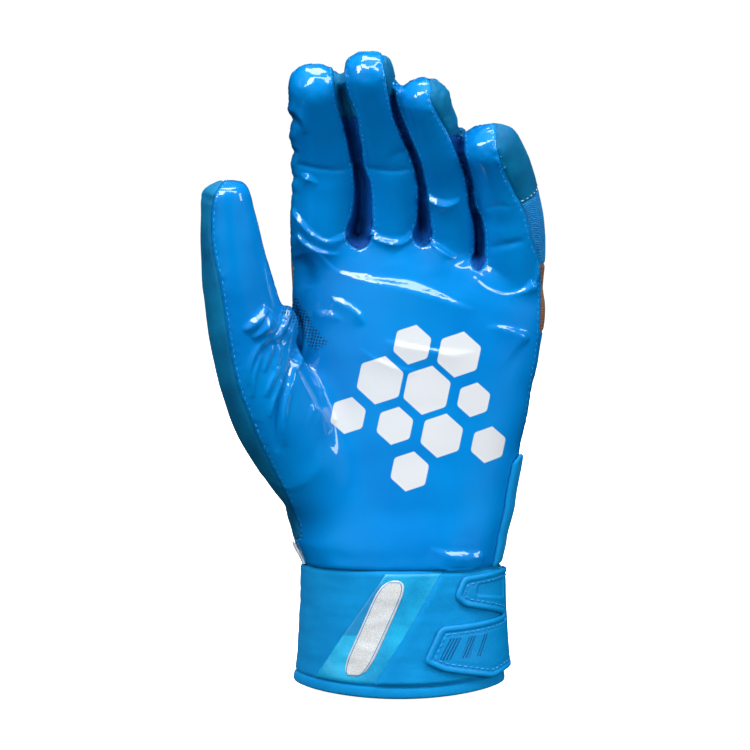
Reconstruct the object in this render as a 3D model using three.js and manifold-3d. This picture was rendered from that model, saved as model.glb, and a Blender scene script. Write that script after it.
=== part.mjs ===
// A left-hand football receiver glove, standing as it does on a hand, with its fingers slightly curled.
// X runs from the thumb side to the little finger, -Y is the palm side and Z is up. The origin is the centre of the
// wrist opening, at the hem. The glove is sewn from separate panels: a coated palm that also covers the front of every
// finger and wraps over its tip, stretch backs on the fingers and thumb, strips between the fingers, a knitted back in
// three parts, and a soft cuff with a bound hem, a satin panel and a moulded closure strap with two prongs.
// Every panel is a thin wall around the open space for the hand. All lengths are in millimetres.
import * as THREE from "three";
import Module from "manifold-3d";

const wasm = await Module();
wasm.setup();

// Cuff and wrist
const cuff_height = 47;
const cuff_wall = 2.6;
const wrist_breadth = 73.5;
const wrist_depth = 49;
const hem_flare = 2.4;
const hem_height = 4.4;
const hem_wall = 1.3;
const hem_rise = 3;

// Hand
const palm_length = 113;
const palm_breadth = 94;
const palm_depth = 35;
const hand_offset = 1;
const panel_wall = 1.4;
const seam_gap = 0.3;
const strip_width = 8;
const fold_height = 1.6;
const fold_width = 5;

// Digits, measured along their middle lines
const index_length = 81;
const index_breadth = 24.5;
const middle_length = 87;
const middle_breadth = 22.5;
const ring_length = 81;
const ring_breadth = 19;
const little_length = 69;
const little_breadth = 23.5;
const thumb_length = 115;
const thumb_breadth = 29;

// Trim on the cuff and at the wrist
const satin_wall = 0.6;
const tag_wall = 0.4;
const overlap_wall = 1;
const strap_wall = 1.2;
const strap_rim = 0.5;
const strap_rim_width = 1.6;
const binding_wall = 1.6;
const binding_length = 40;
const label_height = 8;
const label_wall = 0.6;

const degrees = (d) => (d * Math.PI) / 180;
const mix = (a, b, t) => a + (b - a) * t;

// Where along is between two rows of a table, the value of one column there, eased so that the form stays smooth.
function column(rows, key, name, along) {
  if (along <= rows[0][key]) return rows[0][name];
  const last = rows[rows.length - 1];
  if (along >= last[key]) return last[name];
  const i = rows.findIndex((r) => r[key] > along);
  const t = (along - rows[i - 1][key]) / (rows[i][key] - rows[i - 1][key]);
  return mix(rows[i - 1][name], rows[i][name], t * t * (3 - 2 * t) * 0.5 + t * 0.5);
}

// A solid from vertices and triangles, turned so that its faces point out.
function solid(points, faces) {
  const vertProperties = new Float32Array(points.flatMap((p) => [p.x, p.y, p.z]));
  let volume = 0;
  for (const [a, b, c] of faces)
    volume += points[a].dot(new THREE.Vector3().crossVectors(points[b], points[c]));
  const turned = volume < 0 ? faces.map(([a, b, c]) => [a, c, b]) : faces;
  const triVerts = new Uint32Array(turned.flat());
  return new wasm.Manifold(new wasm.Mesh({ numProp: 3, vertProperties, triVerts }));
}

// A closed skin through rings of equal length, with a fan of triangles over each end.
function loft(rings) {
  const n = rings[0].length;
  const points = rings.flat();
  const faces = [];
  for (let r = 0; r + 1 < rings.length; r++)
    for (let i = 0; i < n; i++) {
      const j = (i + 1) % n;
      faces.push([r * n + i, r * n + j, (r + 1) * n + j]);
      faces.push([r * n + i, (r + 1) * n + j, (r + 1) * n + i]);
    }
  for (const r of [0, rings.length - 1]) {
    const middle = new THREE.Vector3();
    for (const p of rings[r]) middle.addScaledVector(p, 1 / n);
    const m = points.push(middle) - 1;
    for (let i = 0; i < n; i++) {
      const j = (i + 1) % n;
      faces.push(r ? [r * n + i, r * n + j, m] : [r * n + j, r * n + i, m]);
    }
  }
  return solid(points, faces);
}

// The unit superellipse point at a share of a turn: u across and v to the palm side.
function superellipse(turn, power) {
  const a = 2 * Math.PI * turn;
  const bent = (c) => Math.sign(c) * Math.abs(c) ** (2 / power);
  return [bent(Math.cos(a)), bent(Math.sin(a))];
}

// The hand's own form, as sections from the wrist seam up. up is a share of palm_length, wrist says how far the
// section follows the wrist's sizes and not the palm's, shift, breadth, front and back are shares of those sizes, and
// droop lowers the little finger's side, as a share of palm_length.
const hand_rows = [
  { up: -0.15, wrist: 1.0, shift: 0.0, breadth: 0.98, front: 0.49, back: 0.49, droop: 0 },
  { up: 0.0, wrist: 1.0, shift: -0.005, breadth: 0.98, front: 0.49, back: 0.49, droop: 0 },
  { up: 0.08, wrist: 0.9, shift: -0.02, breadth: 1.03, front: 0.49, back: 0.48, droop: 0 },
  { up: 0.2, wrist: 0.55, shift: -0.02, breadth: 1.02, front: 0.49, back: 0.48, droop: 0 },
  { up: 0.37, wrist: 0.2, shift: 0.02, breadth: 0.93, front: 0.51, back: 0.48, droop: 0 },
  { up: 0.54, wrist: 0.0, shift: 0.045, breadth: 0.92, front: 0.52, back: 0.48, droop: 0 },
  { up: 0.7, wrist: 0.0, shift: 0.055, breadth: 0.97, front: 0.5, back: 0.48, droop: 0.02 },
  { up: 0.87, wrist: 0.0, shift: 0.065, breadth: 1.0, front: 0.45, back: 0.46, droop: 0.06 },
  { up: 0.99, wrist: 0.0, shift: 0.07, breadth: 0.99, front: 0.37, back: 0.39, droop: 0.12 },
  { up: 1.04, wrist: 0.0, shift: 0.07, breadth: 0.95, front: 0.27, back: 0.3, droop: 0.16 },
  { up: 1.07, wrist: 0.0, shift: 0.07, breadth: 0.9, front: 0.14, back: 0.16, droop: 0.18 },
];
const hand_sides = 24;
const hand_power = 2.5;

// The middle, half sizes and height of the hand's section at a share of palm_length.
function handSection(up) {
  const at = (name) => column(hand_rows, "up", name, up);
  const wide = mix(palm_breadth, wrist_breadth, at("wrist"));
  const deep = mix(palm_depth, wrist_depth, at("wrist"));
  return {
    x: hand_offset + at("shift") * wide,
    z: cuff_height + up * palm_length,
    across: (at("breadth") * wide) / 2,
    front: at("front") * deep,
    back: at("back") * deep,
    droop: at("droop") * palm_length,
  };
}

// A point of the hand's skin, in from it by a given depth.
function handPoint(up, turn, depth = 0) {
  const s = handSection(up);
  const [u, v] = superellipse(turn, hand_power);
  const across = Math.max(s.across - depth, 1);
  const deep = Math.max((v > 0 ? s.front : s.back) - depth, 1);
  const x = s.x + u * across;
  const lowered = s.droop * Math.max(0, u) ** 1.5;
  return new THREE.Vector3(x, -v * deep, s.z - lowered);
}

function handForm(depth) {
  const low = hand_rows[0].up + (depth > 0 ? -0.02 : 0.02);
  const high = (depth > 0 ? 1.06 : 1.07) - depth / palm_length;
  const ups = hand_rows.map((r) => r.up).filter((u) => u > low && u < high - 0.02);
  const sides = depth > 0 ? (hand_sides * 2) / 3 : hand_sides;
  return loft(
    [low, ...ups, high].map((up) =>
      Array.from({ length: sides }, (_, i) => handPoint(up, i / sides, depth)),
    ),
  );
}

// Each digit stands on its root, a place in the palm given as shares of palm_breadth, palm_depth and palm_length, and
// has three bones: share of the length, lean towards the little finger and curl towards the palm, in degrees. roll
// turns its pad towards the thumb, in degrees. blunt widens the digit near its tip and deep deepens its back.
const digits = [
  {
    name: "index",
    length: index_length,
    breadth: index_breadth,
    root: { x: -0.317, y: 0.0, z: 0.99 },
    bones: [
      { share: 0.47, lean: 2.0, curl: 16.6 },
      { share: 0.29, lean: -6.8, curl: 33.6 },
      { share: 0.24, lean: -4.7, curl: 38.9 },
    ],
    roll: 8,
    blunt: 0.9,
    deep: 1.0,
  },
  {
    name: "middle",
    length: middle_length,
    breadth: middle_breadth,
    root: { x: -0.044, y: 0.0, z: 1.0 },
    bones: [
      { share: 0.41, lean: -1.4, curl: 19.7 },
      { share: 0.33, lean: -14.1, curl: 34.6 },
      { share: 0.26, lean: -8.0, curl: 38.4 },
    ],
    roll: 18,
    blunt: 0.93,
    deep: 1.15,
  },
  {
    name: "ring",
    length: ring_length,
    breadth: ring_breadth,
    root: { x: 0.196, y: 0.0, z: 0.96 },
    bones: [
      { share: 0.37, lean: -5.0, curl: 19.6 },
      { share: 0.36, lean: -13.4, curl: 33.6 },
      { share: 0.27, lean: -14.8, curl: 37.3 },
    ],
    roll: 36,
    blunt: 1.07,
    deep: 1.4,
  },
  {
    name: "little",
    length: little_length,
    breadth: little_breadth,
    root: { x: 0.435, y: 0.0, z: 0.89 },
    bones: [
      { share: 0.43, lean: -3.1, curl: 17.8 },
      { share: 0.34, lean: -14.5, curl: 28.3 },
      { share: 0.23, lean: -27.0, curl: 39.4 },
    ],
    roll: 38,
    blunt: 1.06,
    deep: 1.15,
  },
  {
    name: "thumb",
    length: thumb_length,
    breadth: thumb_breadth,
    root: { x: -0.365, y: 0.3, z: 0.33 },
    bones: [
      { share: 0.35, lean: -26.0, curl: 20.0 },
      { share: 0.34, lean: -13.6, curl: 15.1 },
      { share: 0.31, lean: -7.1, curl: 9.8 },
    ],
    roll: -35,
    blunt: 1.0,
    deep: 1.0,
  },
];

// Sections of a finger and of the thumb. along is a share of the length, and breadth, front and back are shares of the
// breadth. A lower front is the crease of a joint. seam moves the edge of the coated panel towards the back, as a
// share of back, so that the panel wraps over the tip.
const finger_rows = [
  { along: -0.35, breadth: 0.75, front: 0.36, back: 0.36, seam: 0 },
  { along: 0.0, breadth: 0.93, front: 0.44, back: 0.42, seam: 0 },
  { along: 0.22, breadth: 1.0, front: 0.45, back: 0.42, seam: 0 },
  { along: 0.4, breadth: 1.0, front: 0.43, back: 0.42, seam: 0 },
  { along: 0.46, breadth: 0.99, front: 0.4, back: 0.42, seam: 0 },
  { along: 0.53, breadth: 0.97, front: 0.41, back: 0.41, seam: 0 },
  { along: 0.72, breadth: 0.94, front: 0.4, back: 0.38, seam: 0 },
  { along: 0.86, breadth: 0.9, front: 0.39, back: 0.36, seam: 0 },
  { along: 0.95, breadth: 0.87, front: 0.38, back: 0.34, seam: 0.25 },
  { along: 1.0, breadth: 0.85, front: 0.37, back: 0.32, seam: 1.3 },
];
const thumb_rows = [
  { along: -0.3, breadth: 0.7, front: 0.2, back: 0.3, seam: 0 },
  { along: -0.12, breadth: 1.0, front: 0.4, back: 0.45, seam: 0 },
  { along: 0.0, breadth: 1.13, front: 0.5, back: 0.5, seam: -0.1 },
  { along: 0.2, breadth: 1.2, front: 0.5, back: 0.48, seam: -0.2 },
  { along: 0.35, breadth: 1.15, front: 0.47, back: 0.44, seam: -0.25 },
  { along: 0.5, breadth: 1.04, front: 0.42, back: 0.41, seam: -0.25 },
  { along: 0.66, breadth: 0.92, front: 0.38, back: 0.38, seam: -0.25 },
  { along: 0.8, breadth: 0.78, front: 0.35, back: 0.34, seam: -0.2 },
  { along: 0.93, breadth: 0.64, front: 0.31, back: 0.29, seam: 0.1 },
  { along: 1.0, breadth: 0.56, front: 0.27, back: 0.25, seam: 1.3 },
];
const finger_widening = 0.12;
const digit_sides = 12;
const digit_power = 2.2;
const tip_round = 0.36;
const stations = [0, 0.22, 0.4, 0.48, 0.6, 0.82, 0.92, 0.975, 1];

// The middle line of a digit: its buried start, its root and the ends of its bones.
function middleLine(d) {
  const heading = (b) =>
    new THREE.Vector3(Math.tan(degrees(b.lean)), -Math.tan(degrees(b.curl)), 1).normalize();
  const buried = new THREE.Vector3(d.name === "thumb" ? 0.75 : 0, 0, -1).normalize();
  const root = new THREE.Vector3(
    hand_offset + d.root.x * palm_breadth,
    -d.root.y * palm_depth,
    cuff_height + d.root.z * palm_length,
  );
  const depth = (d.name === "thumb" ? 0.25 : 0.35) * d.length;
  const points = [root.clone().addScaledVector(buried, depth), root];
  for (const b of d.bones)
    points.push(points[points.length - 1].clone().addScaledVector(heading(b), b.share * d.length));
  const curve = new THREE.CatmullRomCurve3(points, false, "centripetal");
  const spans = points.length - 1;
  const lengths = [-depth, 0];
  for (const b of d.bones) lengths.push(lengths[lengths.length - 1] + b.share * d.length);
  // A place on the line by its length from the root.
  const parameter = (s) => {
    let i = 1;
    while (i < spans && s > lengths[i]) i++;
    const t = (s - lengths[i - 1]) / (lengths[i] - lengths[i - 1]);
    return Math.min(1, Math.max(0, (i - 1 + t) / spans));
  };
  return { curve, parameter, start: -depth };
}

// The frame of a digit at a length from its root: its middle, the way along, the way across and the way to its pad.
function digitFrame(d, s) {
  d.line ??= middleLine(d);
  const t = d.line.parameter(s);
  const at = d.line.curve.getPoint(t);
  const along = d.line.curve.getTangent(t);
  const past = s - d.length;
  if (past > 0) at.addScaledVector(along, past);
  const across = new THREE.Vector3().crossVectors(along, new THREE.Vector3(0, -1, 0)).normalize();
  const pad = new THREE.Vector3().crossVectors(across, along);
  const turned = degrees(d.roll) * THREE.MathUtils.smoothstep(s / d.length, -0.1, 0.45);
  across.applyAxisAngle(along, -turned);
  pad.applyAxisAngle(along, -turned);
  return { at, along, across, pad };
}

// Half sizes of a digit's section at a length from its root, in from its skin by a given depth.
function digitSection(d, s, depth = 0) {
  const rows = d.name === "thumb" ? thumb_rows : finger_rows;
  const at = (name) => column(rows, "along", name, s / d.length);
  const end = d.length - depth;
  const dome = tip_round * d.breadth * (d.name === "thumb" ? 0.42 : 1);
  const into = Math.min(1, Math.max(0, (s - (end - dome)) / dome));
  const rounding = Math.max(0.25, (1 - into ** 2.4) ** (1 / 2.4));
  const half = (share) => Math.max((share * d.breadth - depth) * rounding, 0.6);
  const near_tip = THREE.MathUtils.smoothstep(s / d.length, 0.45, 0.9);
  return {
    across: half((at("breadth") / 2) * mix(1, d.blunt, near_tip)),
    front: half(at("front")),
    back: half(at("back") * d.deep),
    seam: at("seam") * at("back") * d.breadth,
  };
}

function digitStations(d, depth = 0, every = 1) {
  const end = d.length - depth;
  const low = middleLine(d).start + depth;
  const above = stations.filter((_, i) => i % every === 0 || i > stations.length - 5);
  return [low, low / 2, ...above.map((t) => t * end)];
}

function digitForm(d, depth = 0) {
  const sides = depth > 0 ? digit_sides - 4 : digit_sides;
  return loft(
    digitStations(d, depth, depth > 0 ? 2 : 1).map((s) => {
      const f = digitFrame(d, s);
      const size = digitSection(d, s, depth);
      return Array.from({ length: sides }, (_, i) => {
        const [u, v] = superellipse(i / sides, digit_power);
        const widening = d.name === "thumb" ? 0 : finger_widening;
        return f.at
          .clone()
          .addScaledVector(f.across, u * size.across * (1 - widening * v))
          .addScaledVector(f.pad, v * (v > 0 ? size.front : size.back));
      });
    }),
  );
}

// A bar that follows a digit, with its section given by limits across and towards the pad at each station.
function digitBar(d, lengths, limits) {
  return loft(
    lengths.map((s) => {
      const f = digitFrame(d, s);
      const { left, right, low, high } = limits(s);
      return [
        [left, low],
        [right, low],
        [right, high],
        [left, high],
      ].map(([u, v]) => f.at.clone().addScaledVector(f.across, u).addScaledVector(f.pad, v));
    }),
  );
}

// The room in front of a digit's seams. A gap makes it reach further back.
function padRoom(d, gap) {
  const lengths = [...digitStations(d), d.length * 1.06];
  return digitBar(d, lengths, (s) => {
    const size = digitSection(d, Math.min(s, d.length * 0.85));
    const here = digitSection(d, s);
    const wide = size.across * 1.3;
    return { left: -wide, right: wide, low: -here.seam - gap, high: d.breadth * 0.8 };
  });
}

// The room of the strip on one side of a digit, from its root to near its tip.
function sideRoom(d, side, gap) {
  const reach = 0.82;
  const lengths = [-0.12, ...stations.filter((t) => t <= reach)].map((t) => t * d.length);
  lengths[lengths.length - 1] += gap;
  return digitBar(d, lengths, (s) => {
    const size = digitSection(d, s);
    const taper = Math.sqrt(Math.max(0.04, 1 - Math.max(0, s / d.length) / reach));
    const half = (strip_width / 2) * Math.min(1, taper * 1.5) + gap;
    const inner = size.across * 0.5 - gap;
    const outer = size.across * 1.3 + gap;
    return side > 0
      ? { left: inner, right: outer, low: -half, high: half }
      : { left: -outer, right: -inner, low: -half, high: half };
  });
}

// A box with its low and high faces sloped across, given as heights at x = 0 and a slope.
function slopedBox(x, y, low, high, slope) {
  const corners = [
    [x[0], y[0]],
    [x[1], y[0]],
    [x[1], y[1]],
    [x[0], y[1]],
  ];
  return loft(
    [low, high].map((z) => corners.map(([a, b]) => new THREE.Vector3(a, b, z + slope * a))),
  );
}

const unite = (list) => list.reduce((a, b) => a.add(b));
const widest = 2 * palm_breadth;

// The largest body of a solid once its numbers are rounded, which leaves out slivers at the ends of a cut.
function mainBody(made) {
  const bodies = new wasm.Manifold(made.getMesh()).decompose();
  return bodies.reduce((a, b) => (b.volume() > a.volume() ? b : a));
}

// The whole skin, and a room a little larger than each digit that its panels are cut with.
const hand = handForm(0);
const digit_solids = digits.map((d) => digitForm(d));
const room_margin = 0.8;
const digit_rooms = digits.map((d) => digitForm(d, -room_margin));

// Folds in the coated palm, each a low ridge from one place to another with a bend between them. Places are shares of
// palm_breadth and palm_length, and wide and high are shares of fold_width and fold_height.
const folds = [
  { x0: -0.3, z0: 1.02, x1: -0.05, z1: 0.9, x2: 0.33, z2: 0.79, wide: 1.0, high: 1.0 },
  { x0: -0.24, z0: 0.83, x1: -0.12, z1: 0.78, x2: -0.02, z2: 0.68, wide: 0.9, high: 0.7 },
  { x0: -0.5, z0: 0.6, x1: -0.55, z1: 0.5, x2: -0.57, z2: 0.4, wide: 0.8, high: 1.0 },
  { x0: -0.43, z0: 0.64, x1: -0.46, z1: 0.5, x2: -0.5, z2: 0.37, wide: 0.8, high: 1.1 },
  { x0: -0.36, z0: 0.66, x1: -0.39, z1: 0.48, x2: -0.45, z2: 0.33, wide: 0.9, high: 1.2 },
  { x0: 0.36, z0: 0.86, x1: 0.46, z1: 0.8, x2: 0.55, z2: 0.86, wide: 0.8, high: 0.7 },
];

function threeMesh(made) {
  const m = made.getMesh();
  const points = [];
  for (let i = 0; i < m.numVert; i++) points.push(...m.vertProperties.slice(i * m.numProp, i * m.numProp + 3));
  const g = new THREE.BufferGeometry();
  g.setAttribute("position", new THREE.Float32BufferAttribute(points, 3));
  g.setIndex([...m.triVerts]);
  return new THREE.Mesh(g, new THREE.MeshBasicMaterial({ side: THREE.DoubleSide }));
}

const bare_skin = threeMesh(unite([hand, ...digit_solids]));

// The palm side of the skin at a place seen from the front.
function frontOf(x, z) {
  const ray = new THREE.Raycaster(new THREE.Vector3(x, -widest, z), new THREE.Vector3(0, 1, 0));
  const hit = ray.intersectObject(bare_skin)[0];
  return hit ? hit.point.y : 0;
}

function foldRidge(f) {
  const steps = 5;
  const sides = 6;
  const place = (t) => {
    const a = (1 - t) ** 2;
    const b = 2 * t * (1 - t);
    const x = (a * f.x0 + b * f.x1 + t * t * f.x2) * palm_breadth;
    const z = cuff_height + (a * f.z0 + b * f.z1 + t * t * f.z2) * palm_length;
    return new THREE.Vector3(x, frontOf(x, z), z);
  };
  const line = Array.from({ length: steps + 1 }, (_, i) => place(i / steps));
  return loft(
    line.map((p, i) => {
      const along = line[Math.min(i + 1, steps)].clone().sub(line[Math.max(i - 1, 0)]).normalize();
      const across = new THREE.Vector3().crossVectors(along, new THREE.Vector3(0, -1, 0)).normalize();
      const out = new THREE.Vector3().crossVectors(across, along);
      const fade = Math.max(0.2, Math.sin((Math.PI * i) / steps));
      return Array.from({ length: sides }, (_, k) => {
        const [u, v] = superellipse(k / sides, 2);
        return p
          .clone()
          .addScaledVector(across, (u * f.wide * fold_width * fade) / 2)
          .addScaledVector(out, v * f.high * fold_height * fade);
      });
    }),
  );
}

const ridges = unite(folds.map(foldRidge));
const inside = unite([handForm(panel_wall), ...digits.map((d) => digitForm(d, panel_wall))]);
const above_cuff = slopedBox([-widest, widest], [-widest, widest], cuff_height + seam_gap, 4 * palm_length, 0);
const skin = unite([hand, ridges, ...digit_solids]).intersect(above_cuff);
const shell = skin.subtract(inside);

// The coated palm's edge on the hand, as a share of the section's front half towards the palm side.
const palm_edge = 0.1;
function handFrontRoom(gap) {
  const ups = hand_rows.map((r) => r.up);
  return loft(
    ups.map((up) => {
      const s = handSection(up);
      const y = -palm_edge * s.front + gap;
      const z = s.z;
      return [
        new THREE.Vector3(-palm_breadth, y, z),
        new THREE.Vector3(palm_breadth, y, z),
        new THREE.Vector3(palm_breadth, -palm_depth * 2, z),
        new THREE.Vector3(-palm_breadth, -palm_depth * 2, z),
      ];
    }),
  );
}

function coatedRoom(gap) {
  const onHand = handForm(-2 * fold_height).intersect(handFrontRoom(gap));
  return unite([onHand, ...digits.map((d, i) => digit_rooms[i].intersect(padRoom(d, gap)))]);
}

// The strip between two neighbouring fingers: a side of each, joined over the web between them.
function stripRoom(i, gap) {
  const [a, b] = [digits[i], digits[i + 1]];
  const webs = [0.995, 0.985, 0.93];
  const web_height = cuff_height + webs[i] * palm_length;
  const sides = [
    digit_rooms[i].intersect(sideRoom(a, 1, gap)),
    digit_rooms[i + 1].intersect(sideRoom(b, -1, gap)),
  ];
  const half = strip_width / 2 + gap;
  const x0 = a.root.x * palm_breadth + a.breadth * 0.3;
  const x1 = b.root.x * palm_breadth - b.breadth * 0.3;
  const low = web_height - 0.12 * palm_length - gap;
  const high = web_height + 0.09 * palm_length + gap;
  const bridge = slopedBox([x0 - gap, x1 + gap], [-half, half], low, high, 0);
  return unite([...sides, bridge]);
}

const coated = coatedRoom(0);
const coated_wide = coatedRoom(seam_gap);
const pairs = ["index_middle", "middle_ring", "ring_little"];
const strip_rooms = pairs.map((_, i) => stripRoom(i, 0));
const strip_wide = unite(pairs.map((_, i) => stripRoom(i, seam_gap)));

const palm_panel = shell.intersect(coated).subtract(strip_wide);
const behind = shell.subtract(coated_wide).subtract(strip_wide);

// The stretch back of each finger runs from its tip down to a sewn line, a share of the finger's length.
const back_starts = { index: 0.3, middle: 0.3, ring: 0.3, little: 0.36 };
function backRoom(d, gap) {
  const low = back_starts[d.name] * d.length - gap;
  const lengths = [low, ...digitStations(d).filter((s) => s > low + 1), d.length * 1.08];
  return digit_rooms[digits.indexOf(d)].intersect(
    digitBar(d, lengths, () => {
      const wide = d.breadth * 0.62;
      return { left: -wide, right: wide, low: -d.breadth, high: d.breadth };
    }),
  );
}

const fingers = digits.slice(0, 4);
const thumb_room = digit_rooms[4].subtract(handForm(-2 * seam_gap));
const thumb_wide = digit_rooms[4].subtract(handForm(-seam_gap));
const finger_backs = fingers.map((d) => behind.intersect(backRoom(d, 0)));
const finger_backs_wide = unite(fingers.map((d) => backRoom(d, seam_gap)));
const thumb_back = behind.intersect(thumb_room);
const hand_back = behind.subtract(finger_backs_wide).subtract(thumb_wide);

// The knitted back is in three parts, divided by two lines that slope down to the little finger.
const knit_slope = -0.12;
const band_low = cuff_height + 0.74 * palm_length;
const band_high = cuff_height + 0.95 * palm_length;
const levels = [
  { name: "back_of_hand_knit", low: 0, high: band_low },
  { name: "knuckle_band", low: band_low + seam_gap, high: band_high },
  { name: "knuckle_knit", low: band_high + seam_gap, high: 3 * palm_length },
];

// The cuff's outer skin: its place at an angle from the front, towards the little finger, at a share of its height.
function cuffPoint(angle, up, out) {
  const flare = hem_flare * (1 - up) ** 2;
  const across = wrist_breadth / 2 + flare + out;
  const deep = wrist_depth / 2 + flare * 0.6 + out;
  const side = Math.sin(degrees(angle));
  const lift = hem_rise * side * side * (1 - up);
  return new THREE.Vector3(side * across, -Math.cos(degrees(angle)) * deep, up * cuff_height + lift);
}

// A closed tube around the wrist between two shares of the cuff's height and two distances from its skin.
const cuff_sides = 26;
function cuffTube(low, high, inner, outer, rows) {
  const ring = (up, out) =>
    Array.from({ length: cuff_sides }, (_, i) => cuffPoint((360 * i) / cuff_sides, up, out));
  const ups = Array.from({ length: rows + 1 }, (_, i) => mix(low, high, i / rows));
  const over = (high - low) * 0.5;
  const bore = [low - over, ...ups.slice(1, -1), high + over].map((up) => ring(up, inner));
  return loft(ups.map((up) => ring(up, outer))).subtract(loft(bore));
}

// The room through the cuff's wall between two slanted edges. rows gives, from the hem up, a share of the cuff's
// height and the angles of the edges there.
const room_reach = 4.5;
function slantedRoom(rows) {
  const cols = Math.ceil((rows[0].right - rows[0].left) / 15);
  return loft(
    rows.map(({ up, left, right }) => {
      const angles = Array.from({ length: cols + 1 }, (_, i) => mix(left, right, i / cols));
      return [
        ...angles.map((a) => cuffPoint(a, up, -room_reach)),
        ...angles.reverse().map((a) => cuffPoint(a, up, room_reach)),
      ];
    }),
  );
}

// The room through the cuff's wall under and over two edges. columns gives, from left to right, an angle and the
// shares of the cuff's height where the room starts and ends there.
function levelRoom(columns) {
  const stops = [];
  columns.slice(0, -1).forEach((a, i) => {
    const b = columns[i + 1];
    const n = Math.max(1, Math.round((b.angle - a.angle) / 15));
    for (let k = 0; k < n; k++) stops.push({ a, b, t: k / n });
  });
  const last = columns[columns.length - 1];
  stops.push({ a: last, b: last, t: 0 });
  return loft(
    stops.map(({ a, b, t }) => {
      const angle = mix(a.angle, b.angle, t);
      const [low, high] = [mix(a.low, b.low, t), mix(a.high, b.high, t)];
      return [
        cuffPoint(angle, low, -room_reach),
        cuffPoint(angle, high, -room_reach),
        cuffPoint(angle, high, room_reach),
        cuffPoint(angle, low, room_reach),
      ];
    }),
  );
}

// A sheet of one thickness around the whole cuff, to be cut by such rooms.
const sheet = (inner, wall) => cuffTube(0.02, 1, inner, inner + wall, 2);

const hem_share = hem_height / cuff_height;
const cuff = cuffTube(hem_share + seam_gap / cuff_height, 1, -cuff_wall, 0, 2);
const hem_binding = cuffTube(0, hem_share, -cuff_wall - hem_wall / 2, hem_wall, 1);

// The sheets on the cuff's front, from the skin outwards: the satin panel, the tag on it, the overlapping panel and
// the moulded strap, whose two prongs point to the thumb.
const on_skin = seam_gap;
const trim_low = hem_share + 0.02;
const trim_high = 0.98;
const edge_slant = 37;
const edge_foot = -13.5;
const edgeAt = (up) => edge_foot + (edge_slant * (up - trim_low)) / (trim_high - trim_low);
const satin_width = 42;
const satin_gap = 1.2;
const sheet_ups = [trim_low, 0.25, 0.4, 0.55, 0.7, 0.85, trim_high];
const satin_rows = sheet_ups.map((up) => {
  const right = edgeAt(up) - satin_gap;
  return { up, left: right - satin_width * mix(0.95, 1.08, up), right };
});
const satin_panel = sheet(on_skin, satin_wall).intersect(slantedRoom(satin_rows));

// The tag is a slanted bar with round ends. half is its half width as a share of tag_width.
const tag_out = on_skin + satin_wall + seam_gap;
const tag_width = 13.5;
const tag_rows = [
  { up: 0.17, half: 0.2 },
  { up: 0.195, half: 0.38 },
  { up: 0.25, half: 0.5 },
  { up: 0.85, half: 0.5 },
  { up: 0.905, half: 0.38 },
  { up: 0.93, half: 0.2 },
].map(({ up, half }) => {
  const middle = edgeAt(up) - 19.5;
  return { up, left: middle - half * tag_width, right: middle + half * tag_width };
});
const silver_tag = sheet(tag_out, tag_wall).intersect(slantedRoom(tag_rows));

const overlap_end = 96;
const overlap_rows = sheet_ups.map((up) => ({ up, left: edgeAt(up), right: overlap_end }));
const overlap_panel = sheet(on_skin, overlap_wall).intersect(slantedRoom(overlap_rows));

const strap_in = on_skin + overlap_wall + seam_gap;
const upper_prong = [
  { angle: 31.5, low: 0.74, high: 0.8 },
  { angle: 37, low: 0.72, high: 0.95 },
  { angle: 71, low: 0.58, high: 0.97 },
  { angle: 96, low: 0.56, high: 0.97 },
];
const lower_prong = [
  { angle: 13, low: 0.28, high: 0.33 },
  { angle: 22, low: 0.22, high: 0.56 },
  { angle: 56, low: 0.1, high: 0.57 },
  { angle: 71, low: 0.13, high: 0.57 },
  { angle: 96, low: 0.15, high: 0.6 },
];
const strap_band = [
  { angle: 94, low: 0.16, high: 0.96 },
  { angle: 150, low: 0.14, high: 0.88 },
  { angle: 205, low: 0.16, high: 0.84 },
];

// A prong is a plate with a raised rim round its free edges: a thicker plate with a shallow pocket in it.
function inset(columns, by) {
  const share = by / cuff_height;
  const turn = (by / wrist_breadth) * 115;
  return columns.map((c, i) => {
    const angle = c.angle + (i === 0 ? turn : i === 1 ? turn * 0.4 : 0);
    return { angle, low: c.low + share, high: c.high - share };
  });
}
const strap_out = strap_in + strap_wall;
function prong(columns) {
  const plate = sheet(strap_in, strap_wall + strap_rim).intersect(levelRoom(columns));
  const pocket = sheet(strap_out, 2 * strap_rim).intersect(levelRoom(inset(columns, strap_rim_width)));
  return plate.subtract(pocket);
}
const closure_strap = unite([
  prong(upper_prong),
  prong(lower_prong),
  sheet(strap_in, strap_wall).intersect(levelRoom(strap_band)),
]);

// A strip on the hand's skin between two heights, with its edges at shares of a turn. Heights are shares of
// palm_length.
function handStrip(ups, turns, out, wall) {
  return loft(
    ups.map((up) => [
      ...turns.map((turn) => handPoint(up, turn, -out)),
      ...[...turns].reverse().map((turn) => handPoint(up, turn, -out - wall)),
    ]),
  );
}
const strip_start = (2 * seam_gap) / palm_length;
const side = 1 / hand_sides;
const binding_ups = [strip_start, 0.08, 0.2, binding_length / palm_length];
const side_binding = handStrip(binding_ups, [2 * side, side, 0], 1.5 * seam_gap, binding_wall);
const label_ups = [strip_start, label_height / palm_length];
const side_label = handStrip(label_ups, [0.5 - side, 0.5], 1.5 * seam_gap, label_wall);

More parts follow.
